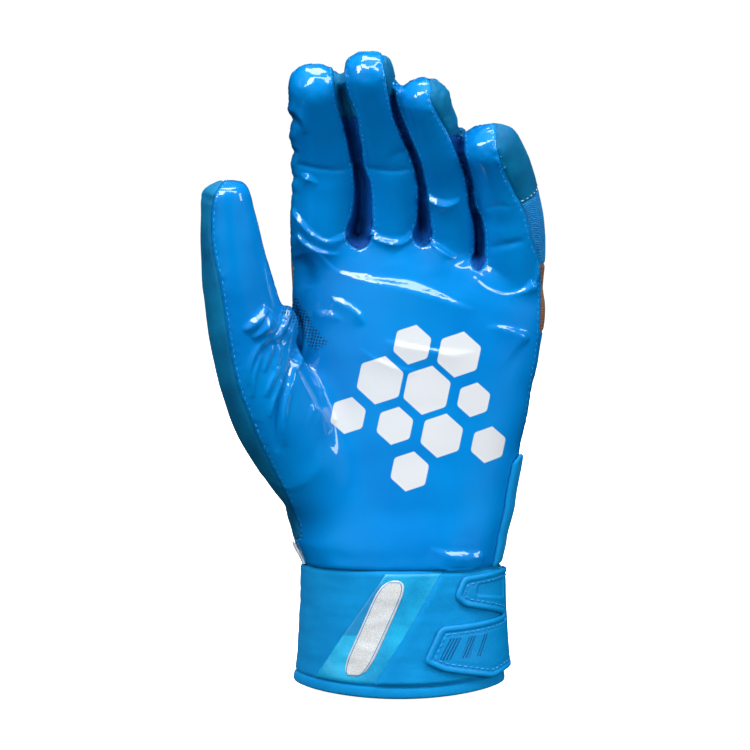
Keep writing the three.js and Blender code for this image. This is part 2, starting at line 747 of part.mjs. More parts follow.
const looks = {
  coated: { color: 0x0286d2, roughness: 0.12, metalness: 0 },
  stretch: { color: 0x0778a6, roughness: 0.75, metalness: 0 },
  knit: { color: 0x0f6fbe, roughness: 0.85, metalness: 0 },
  band: { color: 0xa8672f, roughness: 0.85, metalness: 0 },
  cuff: { color: 0x0784c4, roughness: 0.8, metalness: 0 },
  satin: { color: 0x12a8e2, roughness: 0.35, metalness: 0 },
  silver: { color: 0xc9cdd2, roughness: 0.3, metalness: 0.4 },
  strap: { color: 0x0689cb, roughness: 0.5, metalness: 0 },
  label: { color: 0xe6e9ea, roughness: 0.7, metalness: 0 },
};

const glove = new THREE.Group();
function place(name, made, look) {
  const mesh = threeMesh(mainBody(made));
  mesh.material = new THREE.MeshStandardMaterial(looks[look]);
  mesh.name = name;
  glove.add(mesh);
}

place("palm_panel", palm_panel, "coated");
place("thumb_back", thumb_back, "stretch");
fingers.forEach((d, i) => place(d.name + "_back", finger_backs[i], "stretch"));
pairs.forEach((name, i) => place(name + "_strip", shell.intersect(strip_rooms[i]), "stretch"));
for (const level of levels) {
  const part = slopedBox([-widest, widest], [-widest, widest], level.low, level.high, knit_slope);
  place(level.name, hand_back.intersect(part), level.name === "knuckle_band" ? "band" : "knit");
}
place("cuff", cuff, "cuff");
place("hem_binding", hem_binding, "cuff");
place("satin_panel", satin_panel, "satin");
place("silver_tag", silver_tag, "silver");
place("overlap_panel", overlap_panel, "cuff");
place("closure_strap", closure_strap, "strap");
place("side_binding", side_binding, "cuff");
place("side_label", side_label, "label");

export default glove;
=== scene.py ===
# %% [markdown]
# # A football receiver glove, dressed in Blender
# The glove stands as it does on a left hand, palm to the viewer. It is sewn from panels: a glossy coated palm that runs
# up the front of every finger and over its tip, woven backs, narrow strips between the fingers, a knitted back, and a
# soft cuff with a moulded closure strap. The CAD model is loaded first as a fixed frame. Every visible piece is then
# made where that frame says, in the same millimetres, and stands in for its plain solid.

# %% The tools, the frame and its size
import math

import bpy
import numpy as np
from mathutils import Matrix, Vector, kdtree, noise


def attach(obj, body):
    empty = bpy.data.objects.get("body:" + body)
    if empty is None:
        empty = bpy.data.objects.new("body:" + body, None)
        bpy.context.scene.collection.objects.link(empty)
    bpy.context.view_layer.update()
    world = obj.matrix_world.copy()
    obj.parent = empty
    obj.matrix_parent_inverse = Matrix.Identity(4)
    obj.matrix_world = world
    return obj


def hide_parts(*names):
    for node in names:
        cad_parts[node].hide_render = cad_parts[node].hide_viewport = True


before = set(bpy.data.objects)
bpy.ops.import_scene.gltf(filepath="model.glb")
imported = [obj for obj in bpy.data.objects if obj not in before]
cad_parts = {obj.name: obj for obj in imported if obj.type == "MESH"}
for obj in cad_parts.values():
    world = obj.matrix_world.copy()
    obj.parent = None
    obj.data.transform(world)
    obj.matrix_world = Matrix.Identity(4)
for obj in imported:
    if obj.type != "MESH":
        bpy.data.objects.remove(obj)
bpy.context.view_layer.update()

# %% [markdown]
# ## Camera, light and floor
# A product photograph of a glossy thing is made by what it reflects. The coated palm is a dark mirror over a blue
# sheet, so its folds show as bright lines where they tilt towards a soft box. One box hangs above, a square one stands
# high at the front left, and a long narrow one to the right of it draws the folds under the knuckles. The fills open
# the shadows and aren't mirrored. Only the camera sees the white surroundings, so that they don't bleach the edges of
# the fingers.

# %% The camera at the photograph's angle
AIM = np.array([-9.0, 0.0, 117.0])
DISTANCE = 1400.0
LIFT = math.radians(5)
PIXEL = 0.37  # millimetres at the glove to a pixel of the picture
PICTURE_MIDDLE = 375
camera_data = bpy.data.cameras.new("camera")
camera_data.lens = 181.6
camera_data.sensor_width = 36
camera = bpy.data.objects.new("camera", camera_data)
bpy.context.scene.collection.objects.link(camera)
camera.location = (AIM + [0, -DISTANCE * math.cos(LIFT), DISTANCE * math.sin(LIFT)]) / 1000
camera.rotation_euler = (math.radians(90) - LIFT, 0, 0)
bpy.context.scene.camera = camera
bpy.context.scene.view_settings.view_transform = "Standard"


def seen(points):
    """Where the camera sees these points, in pixels of a 750 x 750 picture."""
    d = points - AIM
    up = d[:, 2] * math.cos(LIFT) + d[:, 1] * math.sin(LIFT)
    ahead = d[:, 1] * math.cos(LIFT) - d[:, 2] * math.sin(LIFT)
    k = DISTANCE / PIXEL / (DISTANCE + ahead)
    return PICTURE_MIDDLE + d[:, 0] * k, PICTURE_MIDDLE - up * k


# %% The soft boxes
def soft_box(name, place, size, power, mirrored=True, aim=0.0):
    """A rectangular light, in metres, that is turned to the glove at x = aim. The gloss may leave it out."""
    data = bpy.data.lights.new(name, "AREA")
    data.shape, data.size, data.size_y, data.energy = "RECTANGLE", *size, power
    box = bpy.data.objects.new(name, data)
    bpy.context.scene.collection.objects.link(box)
    box.location = place
    box.rotation_euler = (Vector((aim, 0, 0.13)) - Vector(place)).to_track_quat("-Z", "Y").to_euler()
    box.visible_glossy = mirrored
    return box


soft_box("top_box", (0.02, 0.05, 1.2), (0.75, 0.4), 10)
soft_box("key_box", (-0.4, -0.85, 1.18), (0.5, 0.5), 11.5)
soft_box("band_box", (0.52, -0.6, 1.2), (1.4, 0.24), 10.5, aim=0.52)
soft_box("left_box", (-0.95, -0.78, 0.83), (0.4, 0.42), 8)
soft_box("right_strip", (1.2, -0.35, 0.55), (0.2, 0.6), 3)
soft_box("front_fill", (-0.55, -1.5, 0.22), (1.1, 0.9), 11, mirrored=False)
soft_box("right_fill", (1.15, -1.1, 0.15), (0.9, 0.9), 18, mirrored=False)
soft_box("back_fill", (0.2, 1.3, 0.7), (0.9, 0.9), 12, mirrored=False)

# %% The surroundings: white to the camera, a weak light on the cloth, and nearly black in the gloss
SKY_ON_CLOTH, SKY_IN_GLOSS = 0.014, 0.0015
world = bpy.data.worlds.new("studio")
world.use_nodes = True
sky = world.node_tree.nodes["Background"]
ray = world.node_tree.nodes.new("ShaderNodeLightPath")
dim = world.node_tree.nodes.new("ShaderNodeMapRange")
sky.inputs["Color"].default_value = (1, 1, 1, 1)
dim.inputs["To Min"].default_value, dim.inputs["To Max"].default_value = SKY_ON_CLOTH, SKY_IN_GLOSS
add = world.node_tree.nodes.new("ShaderNodeMath")
world.node_tree.links.new(ray.outputs["Is Glossy Ray"], dim.inputs["Value"])
world.node_tree.links.new(dim.outputs["Result"], add.inputs[0])
world.node_tree.links.new(ray.outputs["Is Camera Ray"], add.inputs[1])
world.node_tree.links.new(add.outputs["Value"], sky.inputs["Strength"])
bpy.context.scene.world = world

# %% [markdown]
# ## Small tools for meshes
# Each piece starts as one of Blender's primitives and is shaped by moving its vertices to where a rule puts them, and
# by edit-mode operators. A flat grid is the most useful start: it can be laid, wrapped or rolled up into a tube.


# %% Selecting, reading and moving vertices
def only(piece):
    """Selects one object alone, in object mode."""
    if bpy.context.object and bpy.context.object.mode != "OBJECT":
        bpy.ops.object.mode_set(mode="OBJECT")
    bpy.ops.object.select_all(action="DESELECT")
    piece.select_set(True)
    bpy.context.view_layer.objects.active = piece


def places(piece):
    """A mesh's vertices as rows of x, y, z in millimetres."""
    flat = np.empty(len(piece.data.vertices) * 3)
    piece.data.vertices.foreach_get("co", flat)
    return flat.reshape(-1, 3) * 1000


def normals(piece):
    """The ways out of the surface at its vertices."""
    flat = np.empty(len(piece.data.vertices) * 3, np.float32)
    piece.data.vertex_normals.foreach_get("vector", flat)
    return flat.reshape(-1, 3).astype(float)


def move(piece, points):
    """Puts a mesh's vertices at these places, in millimetres."""
    piece.data.vertices.foreach_set("co", (points / 1000).ravel())
    piece.data.update()


def edit(piece, *steps, chosen=None):
    """Runs edit-mode operators on a mesh. chosen is a mask of its vertices, or all of them."""
    only(piece)
    bpy.ops.object.mode_set(mode="EDIT")
    bpy.ops.mesh.select_mode(type="VERT")
    bpy.ops.mesh.select_all(action="SELECT" if chosen is None else "DESELECT")
    if chosen is not None:
        bpy.ops.object.mode_set(mode="OBJECT")
        piece.data.vertices.foreach_set("select", np.asarray(chosen, bool))
        bpy.ops.object.mode_set(mode="EDIT")
    for operator, settings in steps:
        operator(**settings)
    bpy.ops.object.mode_set(mode="OBJECT")


def smooth(piece, angle=None):
    """Smooth shading everywhere, or only where faces meet at less than an angle in degrees."""
    only(piece)
    if angle is None:
        bpy.ops.object.shade_smooth()
    else:
        bpy.ops.object.shade_smooth_by_angle(angle=math.radians(angle))


def thicken(piece, wall, angle=50):
    """Gives a sheet its thickness inwards, in millimetres, and smooth shading."""
    only(piece)
    solid = piece.modifiers.new("wall", "SOLIDIFY")
    solid.thickness, solid.offset, solid.use_rim = wall / 1000, -1, True
    bpy.ops.object.modifier_apply(modifier="wall")
    smooth(piece, angle)
    print(piece.name, len(piece.data.polygons), "faces")


def grid_piece(name, columns, rows, place):
    """A flat grid whose vertices are put at place(u, v), with u and v from 0 to 1."""
    bpy.ops.object.select_all(action="DESELECT")
    bpy.ops.mesh.primitive_grid_add(x_subdivisions=columns, y_subdivisions=rows, size=1)
    piece = bpy.context.object
    piece.name = piece.data.name = name
    flat = places(piece) / 1000 + 0.5
    move(piece, place(flat[:, 0], flat[:, 1]))
    return piece


MERGE = (bpy.ops.mesh.remove_doubles, {"threshold": 1e-6})
FACE_OUT = (bpy.ops.mesh.normals_make_consistent, {"inside": False})


def soften(piece, rounds, chosen=None):
    """Evens out the vertices of a mesh in a number of rounds."""
    edit(piece, (bpy.ops.mesh.vertices_smooth, {"factor": 0.5, "repeat": rounds}), chosen=chosen)


def sheet(name, columns, rows, place, wall):
    """A shaped grid with a thickness."""
    piece = grid_piece(name, columns, rows, place)
    edit(piece, FACE_OUT)
    thicken(piece, wall)
    return piece


def rolled_piece(name, columns, rows, place):
    """A grid rolled into a tube, with its long edges merged and its two ends closed."""
    piece = grid_piece(name, columns, rows, place)
    edit(
        piece,
        MERGE,
        (bpy.ops.mesh.select_all, {"action": "DESELECT"}),
        (bpy.ops.mesh.select_non_manifold, {}),
        (bpy.ops.mesh.edge_face_add, {}),
    )
    edit(piece, FACE_OUT)
    return piece


# %% Numbers kept at the vertices
def write(piece, name, values):
    """Stores one number per vertex."""
    piece.data.attributes.new(name, "FLOAT", "POINT").data.foreach_set("value", values.astype(np.float32))


def reading(piece, name):
    """The numbers of that name, one per vertex."""
    value = np.empty(len(piece.data.vertices), np.float32)
    piece.data.attributes[name].data.foreach_get("value", value)
    return value.astype(float)


def note(piece, name, x, y, z=0.0):
    """Stores a place per vertex, in millimetres, for a weave to follow."""
    spots = np.column_stack([x, y, np.broadcast_to(z, len(x))]).astype(np.float32)
    piece.data.attributes.new(name, "FLOAT_VECTOR", "POINT").data.foreach_set("vector", spots.ravel())


# %% Sums on whole arrays
def mix(a, b, t):
    return a + (b - a) * t


def step(x, low, high):
    """0 under low, 1 over high, and smooth between."""
    t = np.clip((np.asarray(x, float) - low) / (high - low), 0, 1)
    return t * t * (3 - 2 * t)


def unit(v):
    return v / np.maximum(np.linalg.norm(v, axis=-1, keepdims=True), 1e-9)


def column(rows, i, along):
    """Column i of a table whose first column is a place, read at these places and eased between the rows."""
    table = np.array(rows, float)
    at = np.clip(along, table[0, 0], table[-1, 0])
    r = np.clip(np.searchsorted(table[:, 0], at, side="right") - 1, 0, len(table) - 2)
    t = (at - table[r, 0]) / (table[r + 1, 0] - table[r, 0])
    return mix(table[r, i], table[r + 1, i], t * t * (3 - 2 * t) * 0.5 + t * 0.5)


def superellipse(turn, power):
    """Across and up, from -1 to 1, on a rounded oval at this share of a turn."""
    a = 2 * np.pi * turn
    return [np.sign(c) * np.abs(c) ** (2 / power) for c in (np.cos(a), np.sin(a))]


def fine_noise(points, size, seed=0.0):
    """Smooth noise from about -1 to 1 at each point, with features of this size in millimetres."""
    return np.array([noise.noise(Vector(p) / size + Vector((seed, 0, 0))) for p in points])


# %% [markdown]
# ## The hand's form
# The glove's panels lie on one continuous skin: a flattened tube for the palm that widens from the wrist, and five
# curled tubes for the digits. The tables are the same named sizes as in the CAD source. Each tube is a grid rolled up
# on its sections. A voxel remesh joins the six tubes and a small web at the thumb into one skin, which cuts away all
# that lies inside. A few rounds of smoothing then turn the sharp valleys where the tubes meet into the soft webs of a
# real glove.

# %% The palm's sections
CUFF_HEIGHT, PALM_LENGTH, PALM_BREADTH, PALM_DEPTH = 47, 113, 94, 35
WRIST_BREADTH, WRIST_DEPTH, HAND_OFFSET = 73.5, 49, 1
UP, WRIST, SHIFT, BREADTH, FRONT, BACK, DROOP = range(7)
hand_rows = [
    (-0.15, 1.0, 0.0, 0.98, 0.49, 0.49, 0),
    (0.0, 1.0, -0.005, 0.98, 0.49, 0.49, 0),
    (0.08, 0.9, -0.02, 1.03, 0.49, 0.48, 0),
    (0.2, 0.55, -0.02, 1.02, 0.49, 0.48, 0),
    (0.37, 0.2, 0.02, 0.93, 0.51, 0.48, 0),
    (0.54, 0.0, 0.045, 0.92, 0.52, 0.48, 0),
    (0.7, 0.0, 0.055, 0.97, 0.5, 0.48, 0.02),
    (0.87, 0.0, 0.065, 1.0, 0.45, 0.46, 0.06),
    (0.99, 0.0, 0.07, 0.99, 0.37, 0.39, 0.12),
    (1.04, 0.0, 0.07, 0.95, 0.27, 0.3, 0.16),
    (1.07, 0.0, 0.07, 0.9, 0.14, 0.16, 0.18),
]


def hand_section(up):
    """Middle x, half breadth, front, back and droop of the palm at these shares of its length."""
    wrist = column(hand_rows, WRIST, up)
    wide = mix(PALM_BREADTH, WRIST_BREADTH, wrist)
    deep = mix(PALM_DEPTH, WRIST_DEPTH, wrist)
    return (
        HAND_OFFSET + column(hand_rows, SHIFT, up) * wide,
        column(hand_rows, BREADTH, up) * wide / 2,
        column(hand_rows, FRONT, up) * deep,
        column(hand_rows, BACK, up) * deep,
        column(hand_rows, DROOP, up) * PALM_LENGTH,
    )


def hand_point(up, turn, out=0.0):
    """A place on the palm's form, or out millimetres over it."""
    x, across, front, back, droop = hand_section(up)
    u, v = superellipse(turn, 2.5)
    lowered = droop * np.maximum(0, u) ** 1.5
    deep = np.where(v > 0, front, back) + out
    z = CUFF_HEIGHT + up * PALM_LENGTH - lowered
    return np.stack([x + u * (across + out), -v * deep, z], -1)


palm_form = rolled_piece("palm_form", 96, 64, lambda u, v: hand_point(mix(-0.12, 1.069, v), u))
print("palm form:", len(palm_form.data.vertices), "vertices")

# %% The five digits: root, bones and turns
digits = [
    dict(name="index", length=81, breadth=24.5, root=(-0.317, 0, 0.99), roll=8, blunt=0.9, deep=1.0,
         bones=[(0.47, 2, 16.6), (0.29, -6.8, 33.6), (0.24, -4.7, 38.9)]),
    dict(name="middle", length=87, breadth=22.5, root=(-0.044, 0, 1.0), roll=18, blunt=0.93, deep=1.15,
         bones=[(0.41, -1.4, 19.7), (0.33, -14.1, 34.6), (0.26, -8, 38.4)]),
    dict(name="ring", length=81, breadth=19, root=(0.196, 0, 0.96), roll=36, blunt=1.07, deep=1.4,
         bones=[(0.37, -5, 19.6), (0.36, -13.4, 33.6), (0.27, -14.8, 37.3)]),
    dict(name="little", length=69, breadth=23.5, root=(0.435, 0, 0.89), roll=38, blunt=1.06, deep=1.15,
         bones=[(0.43, -3.1, 17.8), (0.34, -14.5, 28.3), (0.23, -27, 39.4)]),
    dict(name="thumb", length=115, breadth=29, root=(-0.365, 0.3, 0.33), roll=-35, blunt=1.0, deep=1.0,
         bones=[(0.35, -26, 20), (0.34, -13.6, 15.1), (0.31, -7.1, 9.8)]),
]
finger_rows = [
    (-0.35, 0.75, 0.36, 0.36, 0), (0.0, 0.93, 0.44, 0.42, 0), (0.22, 1.0, 0.45, 0.42, 0), (0.4, 1.0, 0.43, 0.42, 0),
    (0.46, 0.99, 0.4, 0.42, 0), (0.53, 0.97, 0.41, 0.41, 0), (0.72, 0.94, 0.4, 0.38, 0), (0.86, 0.9, 0.39, 0.36, 0),
    (0.95, 0.87, 0.38, 0.34, 0.25), (1.0, 0.85, 0.37, 0.32, 1.3),
]
thumb_rows = [
    (-0.3, 0.7, 0.2, 0.3, 0), (-0.12, 1.0, 0.4, 0.45, 0), (0.0, 1.13, 0.5, 0.5, -0.1), (0.2, 1.2, 0.5, 0.48, -0.2),
    (0.35, 1.15, 0.47, 0.44, -0.25), (0.5, 1.04, 0.42, 0.41, -0.25), (0.66, 0.92, 0.38, 0.38, -0.25),
    (0.8, 0.78, 0.35, 0.34, -0.2), (0.93, 0.64, 0.31, 0.29, 0.1), (1.0, 0.56, 0.27, 0.25, 1.3),
]


# %% A digit's middle line, as a smooth curve through its joints
def curve_point(joints, t):
    """A centripetal Catmull-Rom curve through the joints, at a share of its spans."""
    spans = len(joints) - 1
    i = min(int(t * spans), spans - 1)
    w = t * spans - i
    p1, p2 = joints[i], joints[i + 1]
    p0 = joints[i - 1] if i > 0 else 2 * joints[0] - joints[1]
    p3 = joints[i + 2] if i + 2 <= spans else 2 * joints[-1] - joints[-2]
    d0, d1, d2 = (np.linalg.norm(b - a) ** 0.5 for a, b in ((p0, p1), (p1, p2), (p2, p3)))
    m1 = ((p1 - p0) / d0 - (p2 - p0) / (d0 + d1) + (p2 - p1) / d1) * d1
    m2 = ((p2 - p1) / d1 - (p3 - p1) / (d1 + d2) + (p3 - p2) / d2) * d1
    return p1 + m1 * w + (-3 * p1 + 3 * p2 - 2 * m1 - m2) * w**2 + (2 * p1 - 2 * p2 + m1 + m2) * w**3


def middle_line(d):
    """Samples of the line: lengths from the root, places, and the ways along, across and to the pad."""
    thumb = d["name"] == "thumb"
    buried = unit(np.array([0.75 if thumb else 0, 0, -1]))
    rx, ry, rz = d["root"]
    root = np.array([HAND_OFFSET + rx * PALM_BREADTH, -ry * PALM_DEPTH, CUFF_HEIGHT + rz * PALM_LENGTH])
    depth = (0.25 if thumb else 0.35) * d["length"]
    joints, lengths = [root + buried * depth, root], [-depth, 0.0]
    for share, lean, curl in d["bones"]:
        heading = unit(np.array([math.tan(math.radians(lean)), -math.tan(math.radians(curl)), 1]))
        joints.append(joints[-1] + heading * share * d["length"])
        lengths.append(lengths[-1] + share * d["length"])
    s = np.linspace(-depth, d["length"], 220)
    spans = len(joints) - 1
    i = np.clip(np.searchsorted(lengths, s, side="left"), 1, spans)
    low, high = np.array(lengths)[i - 1], np.array(lengths)[i]
    t = np.clip((i - 1 + (s - low) / (high - low)) / spans, 0, 1)
    at = np.array([curve_point(joints, x) for x in t])
    ahead = np.array([curve_point(joints, min(x + 1e-4, 1)) - curve_point(joints, max(x - 1e-4, 0)) for x in t])
    along = unit(ahead)
    across = unit(np.cross(along, [0, -1, 0]))
    pad = np.cross(across, along)
    turned = -np.radians(d["roll"]) * step(s / d["length"], -0.1, 0.45)
    cos, sin = np.cos(turned)[:, None], np.sin(turned)[:, None]
    turn = lambda v: v * cos + np.cross(along, v) * sin
    # The line goes on straight past the tip, for points beyond it.
    past = 0.1 * d["length"]
    grow = lambda v, end: np.vstack([v, end])
    across, pad = turn(across), turn(pad)
    return dict(
        s=np.append(s, d["length"] + past), at=grow(at, at[-1] + along[-1] * past), along=grow(along, along[-1]),
        across=grow(across, across[-1]), pad=grow(pad, pad[-1]), start=-depth,
    )


def on_line(d, s, key):
    """A digit's middle line, or one of its ways, at these lengths."""
    line = d["line"]
    return np.stack([np.interp(s, line["s"], line[key][:, k]) for k in range(3)], -1)


def digit_section(d, s):
    """Half sizes across, to the pad and to the back, and where the coated panel's edge is, in millimetres."""
    rows = thumb_rows if d["name"] == "thumb" else finger_rows
    share = s / d["length"]
    dome = 0.36 * d["breadth"] * (0.42 if d["name"] == "thumb" else 1)
    into = np.clip((s - (d["length"] - dome)) / dome, 0, 1)
    rounding = np.maximum(0.25, (1 - into**2.4) ** (1 / 2.4))
    half = lambda part: np.maximum(part * d["breadth"] * rounding, 0.6)
    near_tip = step(share, 0.45, 0.9)
    back = column(rows, 3, share)
    return (
        half(column(rows, 1, share) / 2 * mix(1, d["blunt"], near_tip)),
        half(column(rows, 2, share)),
        half(back * d["deep"]),
        column(rows, 4, share) * back * d["breadth"],
    )


def digit_point(d, s, turn):
    """A place on a digit's form."""
    across, front, back, _ = digit_section(d, s)
    u, v = superellipse(turn, 2.2)
    widening = 0 if d["name"] == "thumb" else 0.12
    side = (u * across * (1 - widening * v))[:, None] * on_line(d, s, "across")
    out = (v * np.where(v > 0, front, back))[:, None] * on_line(d, s, "pad")
    return on_line(d, s, "at") + side + out


forms = [palm_form]
for d in digits:
    d["line"] = middle_line(d)
    start, end = d["line"]["start"], d["length"]
    place = lambda u, v, d=d, start=start, end=end: digit_point(d, mix(start, end, v), u)
    forms.append(rolled_piece(d["name"] + "_form", 64, 100, place))
bpy.ops.object.select_all(action="DESELECT")
bpy.ops.mesh.primitive_uv_sphere_add(segments=32, ring_count=20, radius=0.001, location=(-0.0412, -0.021, 0.1365))
thumb_web = bpy.context.object
thumb_web.scale = (4.6, 12, 8.2)
bpy.ops.object.transform_apply(location=True, rotation=True, scale=True)
forms.append(thumb_web)
print("forms:", [f.name for f in forms])

# %% One skin from the six forms and the web of the thumb
VOXEL = 0.0011
only(palm_form)
for form in forms:
    form.select_set(True)
bpy.ops.object.join()
skin = bpy.context.object
skin.name = skin.data.name = "skin"
skin.data.remesh_voxel_size = VOXEL
skin.data.use_remesh_fix_poles = False
skin.data.use_remesh_preserve_volume = True
bpy.ops.object.voxel_remesh()
soften(skin, 8)
print("skin:", len(skin.data.vertices), "vertices")

# %% [markdown]
# ## Where each vertex is on the hand
# The seams, folds and weaves follow the fingers, so each vertex gets its own place in the terms of a glove maker: how
# far up which digit it is, how far across it, and how far towards its pad. Near the knuckles a vertex belongs partly
# to the palm and partly to a digit, and the shares are blended so that no seam makes a jump there.


# %% Places along a digit and in the palm
def along_digit(d, points):
    """Length up the digit, millimetres across it and towards its pad, and how far out of its skin (1 is on it)."""
    line = d["line"]
    nearest = np.empty(len(points), int)
    for i in range(0, len(points), 4096):
        part = points[i : i + 4096]
        nearest[i : i + 4096] = ((part[:, None] - line["at"][None, ::3]) ** 2).sum(2).argmin(1) * 3
    nearest = np.minimum(nearest, len(line["s"]) - 1)
    offset = points - line["at"][nearest]
    s = np.clip(line["s"][nearest] + (offset * line["along"][nearest]).sum(1), line["start"], line["s"][-1])
    offset = points - on_line(d, s, "at")
    a = (offset * on_line(d, s, "across")).sum(1)
    b = (offset * on_line(d, s, "pad")).sum(1)
    across, front, back, _ = digit_section(d, np.minimum(s, 0.9 * d["length"]))
    r = ((np.abs(a) / across) ** 2.2 + (np.abs(b) / np.where(b > 0, front, back)) ** 2.2) ** (1 / 2.2)
    return s, a, b, r


def in_palm(points):
    """Share of the palm's length, millimetres to the front, the front half there, and how far out of its skin."""
    x, y, z = points.T
    up = (z - CUFF_HEIGHT) / PALM_LENGTH
    for _ in range(5):
        middle, across, front, back, droop = hand_section(up)
        u = (x - middle) / across
        up = (z + droop * np.clip(u, 0, 1) ** 1.5 - CUFF_HEIGHT) / PALM_LENGTH
    r = (np.abs(u) ** 2.5 + (np.abs(y) / np.where(y < 0, front, back)) ** 2.5) ** (1 / 2.5)
    return up, -y, front, r + 8 * np.maximum(0, up - 1.04)


def shares(points):
    """How much each vertex belongs to the palm and to each digit, with the places in all of them."""
    palm = in_palm(points)
    each = [along_digit(d, points) for d in digits]
    r = np.stack([palm[3]] + [e[3] for e in each], 1)
    weight = np.exp(-(r - r.min(1, keepdims=True)) / 0.12)
    return palm, each, weight / weight.sum(1, keepdims=True)


points = places(skin)
palm, each, weight = shares(points)
mixed = 1 - weight.max(1)
print("vertices between two forms:", int((mixed > 0.1).sum()))

# %% Softer webs and a softer root of the thumb
thumb_root = (weight[:, 5] > 0.04) & (weight[:, 0] > 0.04) & (points[:, 2] < 150)
soften(skin, 14, mixed > 0.08)
soften(skin, 40, thumb_root)
UNDER_GAPS = ((360, 257, 30, 17), (424, 256, 26, 16), (479, 279, 20, 14))  # ovals in the picture: middle, half axes
px, py = seen(places(skin))
below_gaps = np.zeros(len(px), bool)
for gx, gy, wide, high in UNDER_GAPS:
    below_gaps |= ((px - gx) / wide) ** 2 + ((py - gy) / high) ** 2 < 1
below_gaps &= normals(skin)[:, 1] < 0
soften(skin, 90, below_gaps)
points = places(skin)

# %% [markdown]
# ## Folds and creases
# A glove that has been worn keeps folds where the hand bends. They are what the soft boxes draw on the gloss, so they
# are real relief in the skin. Each is a smooth path over the front of the hand, given as the camera sees it, with a
# profile across it: a ridge, a crease, or a band, which rises at the path with just the slope that mirrors a soft box
# and sinks away slowly below it.


# %% Places beside a path
def smooth_path(path, count):
    """Places at equal shares of a smooth curve through the points of a path."""
    joints = np.array([(x, y, 0) for x, y in path], float)
    return np.array([curve_point(joints, t)[:2] for t in np.linspace(0, 1, count)])


def beside_line(px, py, line):
    """For each place: the offset across the line at its nearest sample, the distance, and the sample's number."""
    way = unit(np.gradient(line, axis=0))
    across, distance, nearest = np.empty(len(px)), np.empty(len(px)), np.empty(len(px), int)
    for i in range(0, len(px), 4096):
        part = slice(i, i + 4096)
        ox, oy = px[part, None] - line[:, 0], py[part, None] - line[:, 1]
        k = (ox**2 + oy**2).argmin(1)
        ox, oy = ox[np.arange(len(k)), k], oy[np.arange(len(k)), k]
        across[part], distance[part], nearest[part] = way[k, 0] * oy - way[k, 1] * ox, np.hypot(ox, oy), k
    return across, distance, nearest


def near_path(px, py, path, count=160):
    """For each place: distance from a smooth path in pixels, over 0 on its right, and the share along it."""
    across, distance, nearest = beside_line(px, py, smooth_path(path, count))
    return np.where(across < 0, -1, 1) * distance, nearest / (count - 1)


def near_box(px, py, path, reach):
    """Which places are in a path's box, widened by a reach in pixels."""
    (left, top), (right, bottom) = np.min(path, 0) - reach, np.max(path, 0) + reach
    return (px > left) & (px < right) & (py > top) & (py < bottom)


# %% The profile of a fold along a path
END = 0.001


def eased_ends(share):
    """1 in the middle of a path, sinking to nearly 0 at its ends."""
    return np.sqrt(np.sin(np.pi * np.clip(share, END, 1 - END)))


def within_ends(distance, share, half):
    """False for places past the ends of a path, which are nearest to its first or last sample."""
    return ~(((share <= END) | (share >= 1 - END)) & (np.abs(distance) > half))


def fold(points, front, path, wide, high):
    """Heights in millimetres that a ridge or crease adds at each vertex. wide is in pixels."""
    px, py = seen(points)
    close = (front > 0) & near_box(px, py, path, 3 * wide)
    distance, share = near_path(px[close], py[close], path)
    shape = np.exp(-((distance / wide) ** 2))
    height = np.zeros(len(points))
    height[close] = high * shape * eased_ends(share) * front[close] * within_ends(distance, share, wide)
    return height


# %% A fold whose slope mirrors a soft box
STOPS = np.linspace(0, 1, 13)
LEAST_SLOPE, MOST_SLOPE = 8, 58


def band(points, facing, front, path, widths, aim, fade):
    """Heights of a fold that faces a soft box all the way: its slope is what the skin lacks from aim degrees up.

    widths and aim are given along the path, in pixels and degrees. fade says how far it sinks away, in pixels.
    """
    px, py = seen(points)
    close = (front > 0) & near_box(px, py, path, 3 * fade)
    distance, share = near_path(px[close], py[close], path)
    way = unit(np.gradient(smooth_path(path, len(STOPS)), axis=0))
    tilt = np.degrees(np.arctan2(facing[close][:, 2], -facing[close][:, 1]))
    on_it = np.abs(distance) < 6
    here = [np.exp(-(((share[on_it] - t) / 0.09) ** 2)) + 1e-9 for t in STOPS]
    tilts = np.array([(w * tilt[on_it]).sum() / w.sum() for w in here])
    wanted = np.interp(STOPS, np.linspace(0, 1, np.size(aim)), np.atleast_1d(aim))
    lacking = np.radians(np.clip(wanted - tilts, LEAST_SLOPE, MOST_SLOPE))
    slopes = np.tan(lacking) / np.clip(np.abs(way[:, 0]), 0.55, 1)
    half = np.interp(share, np.linspace(0, 1, len(widths)), widths) / 2
    rise = (np.clip(distance, -half, half) + half) * PIXEL * np.interp(share, STOPS, slopes)
    sinking = np.exp(-np.maximum(distance - half, 0) / fade)
    height = np.zeros(len(points))
    height[close] = rise * sinking * eased_ends(share) * (front[close] * within_ends(distance, share, half))
    return height


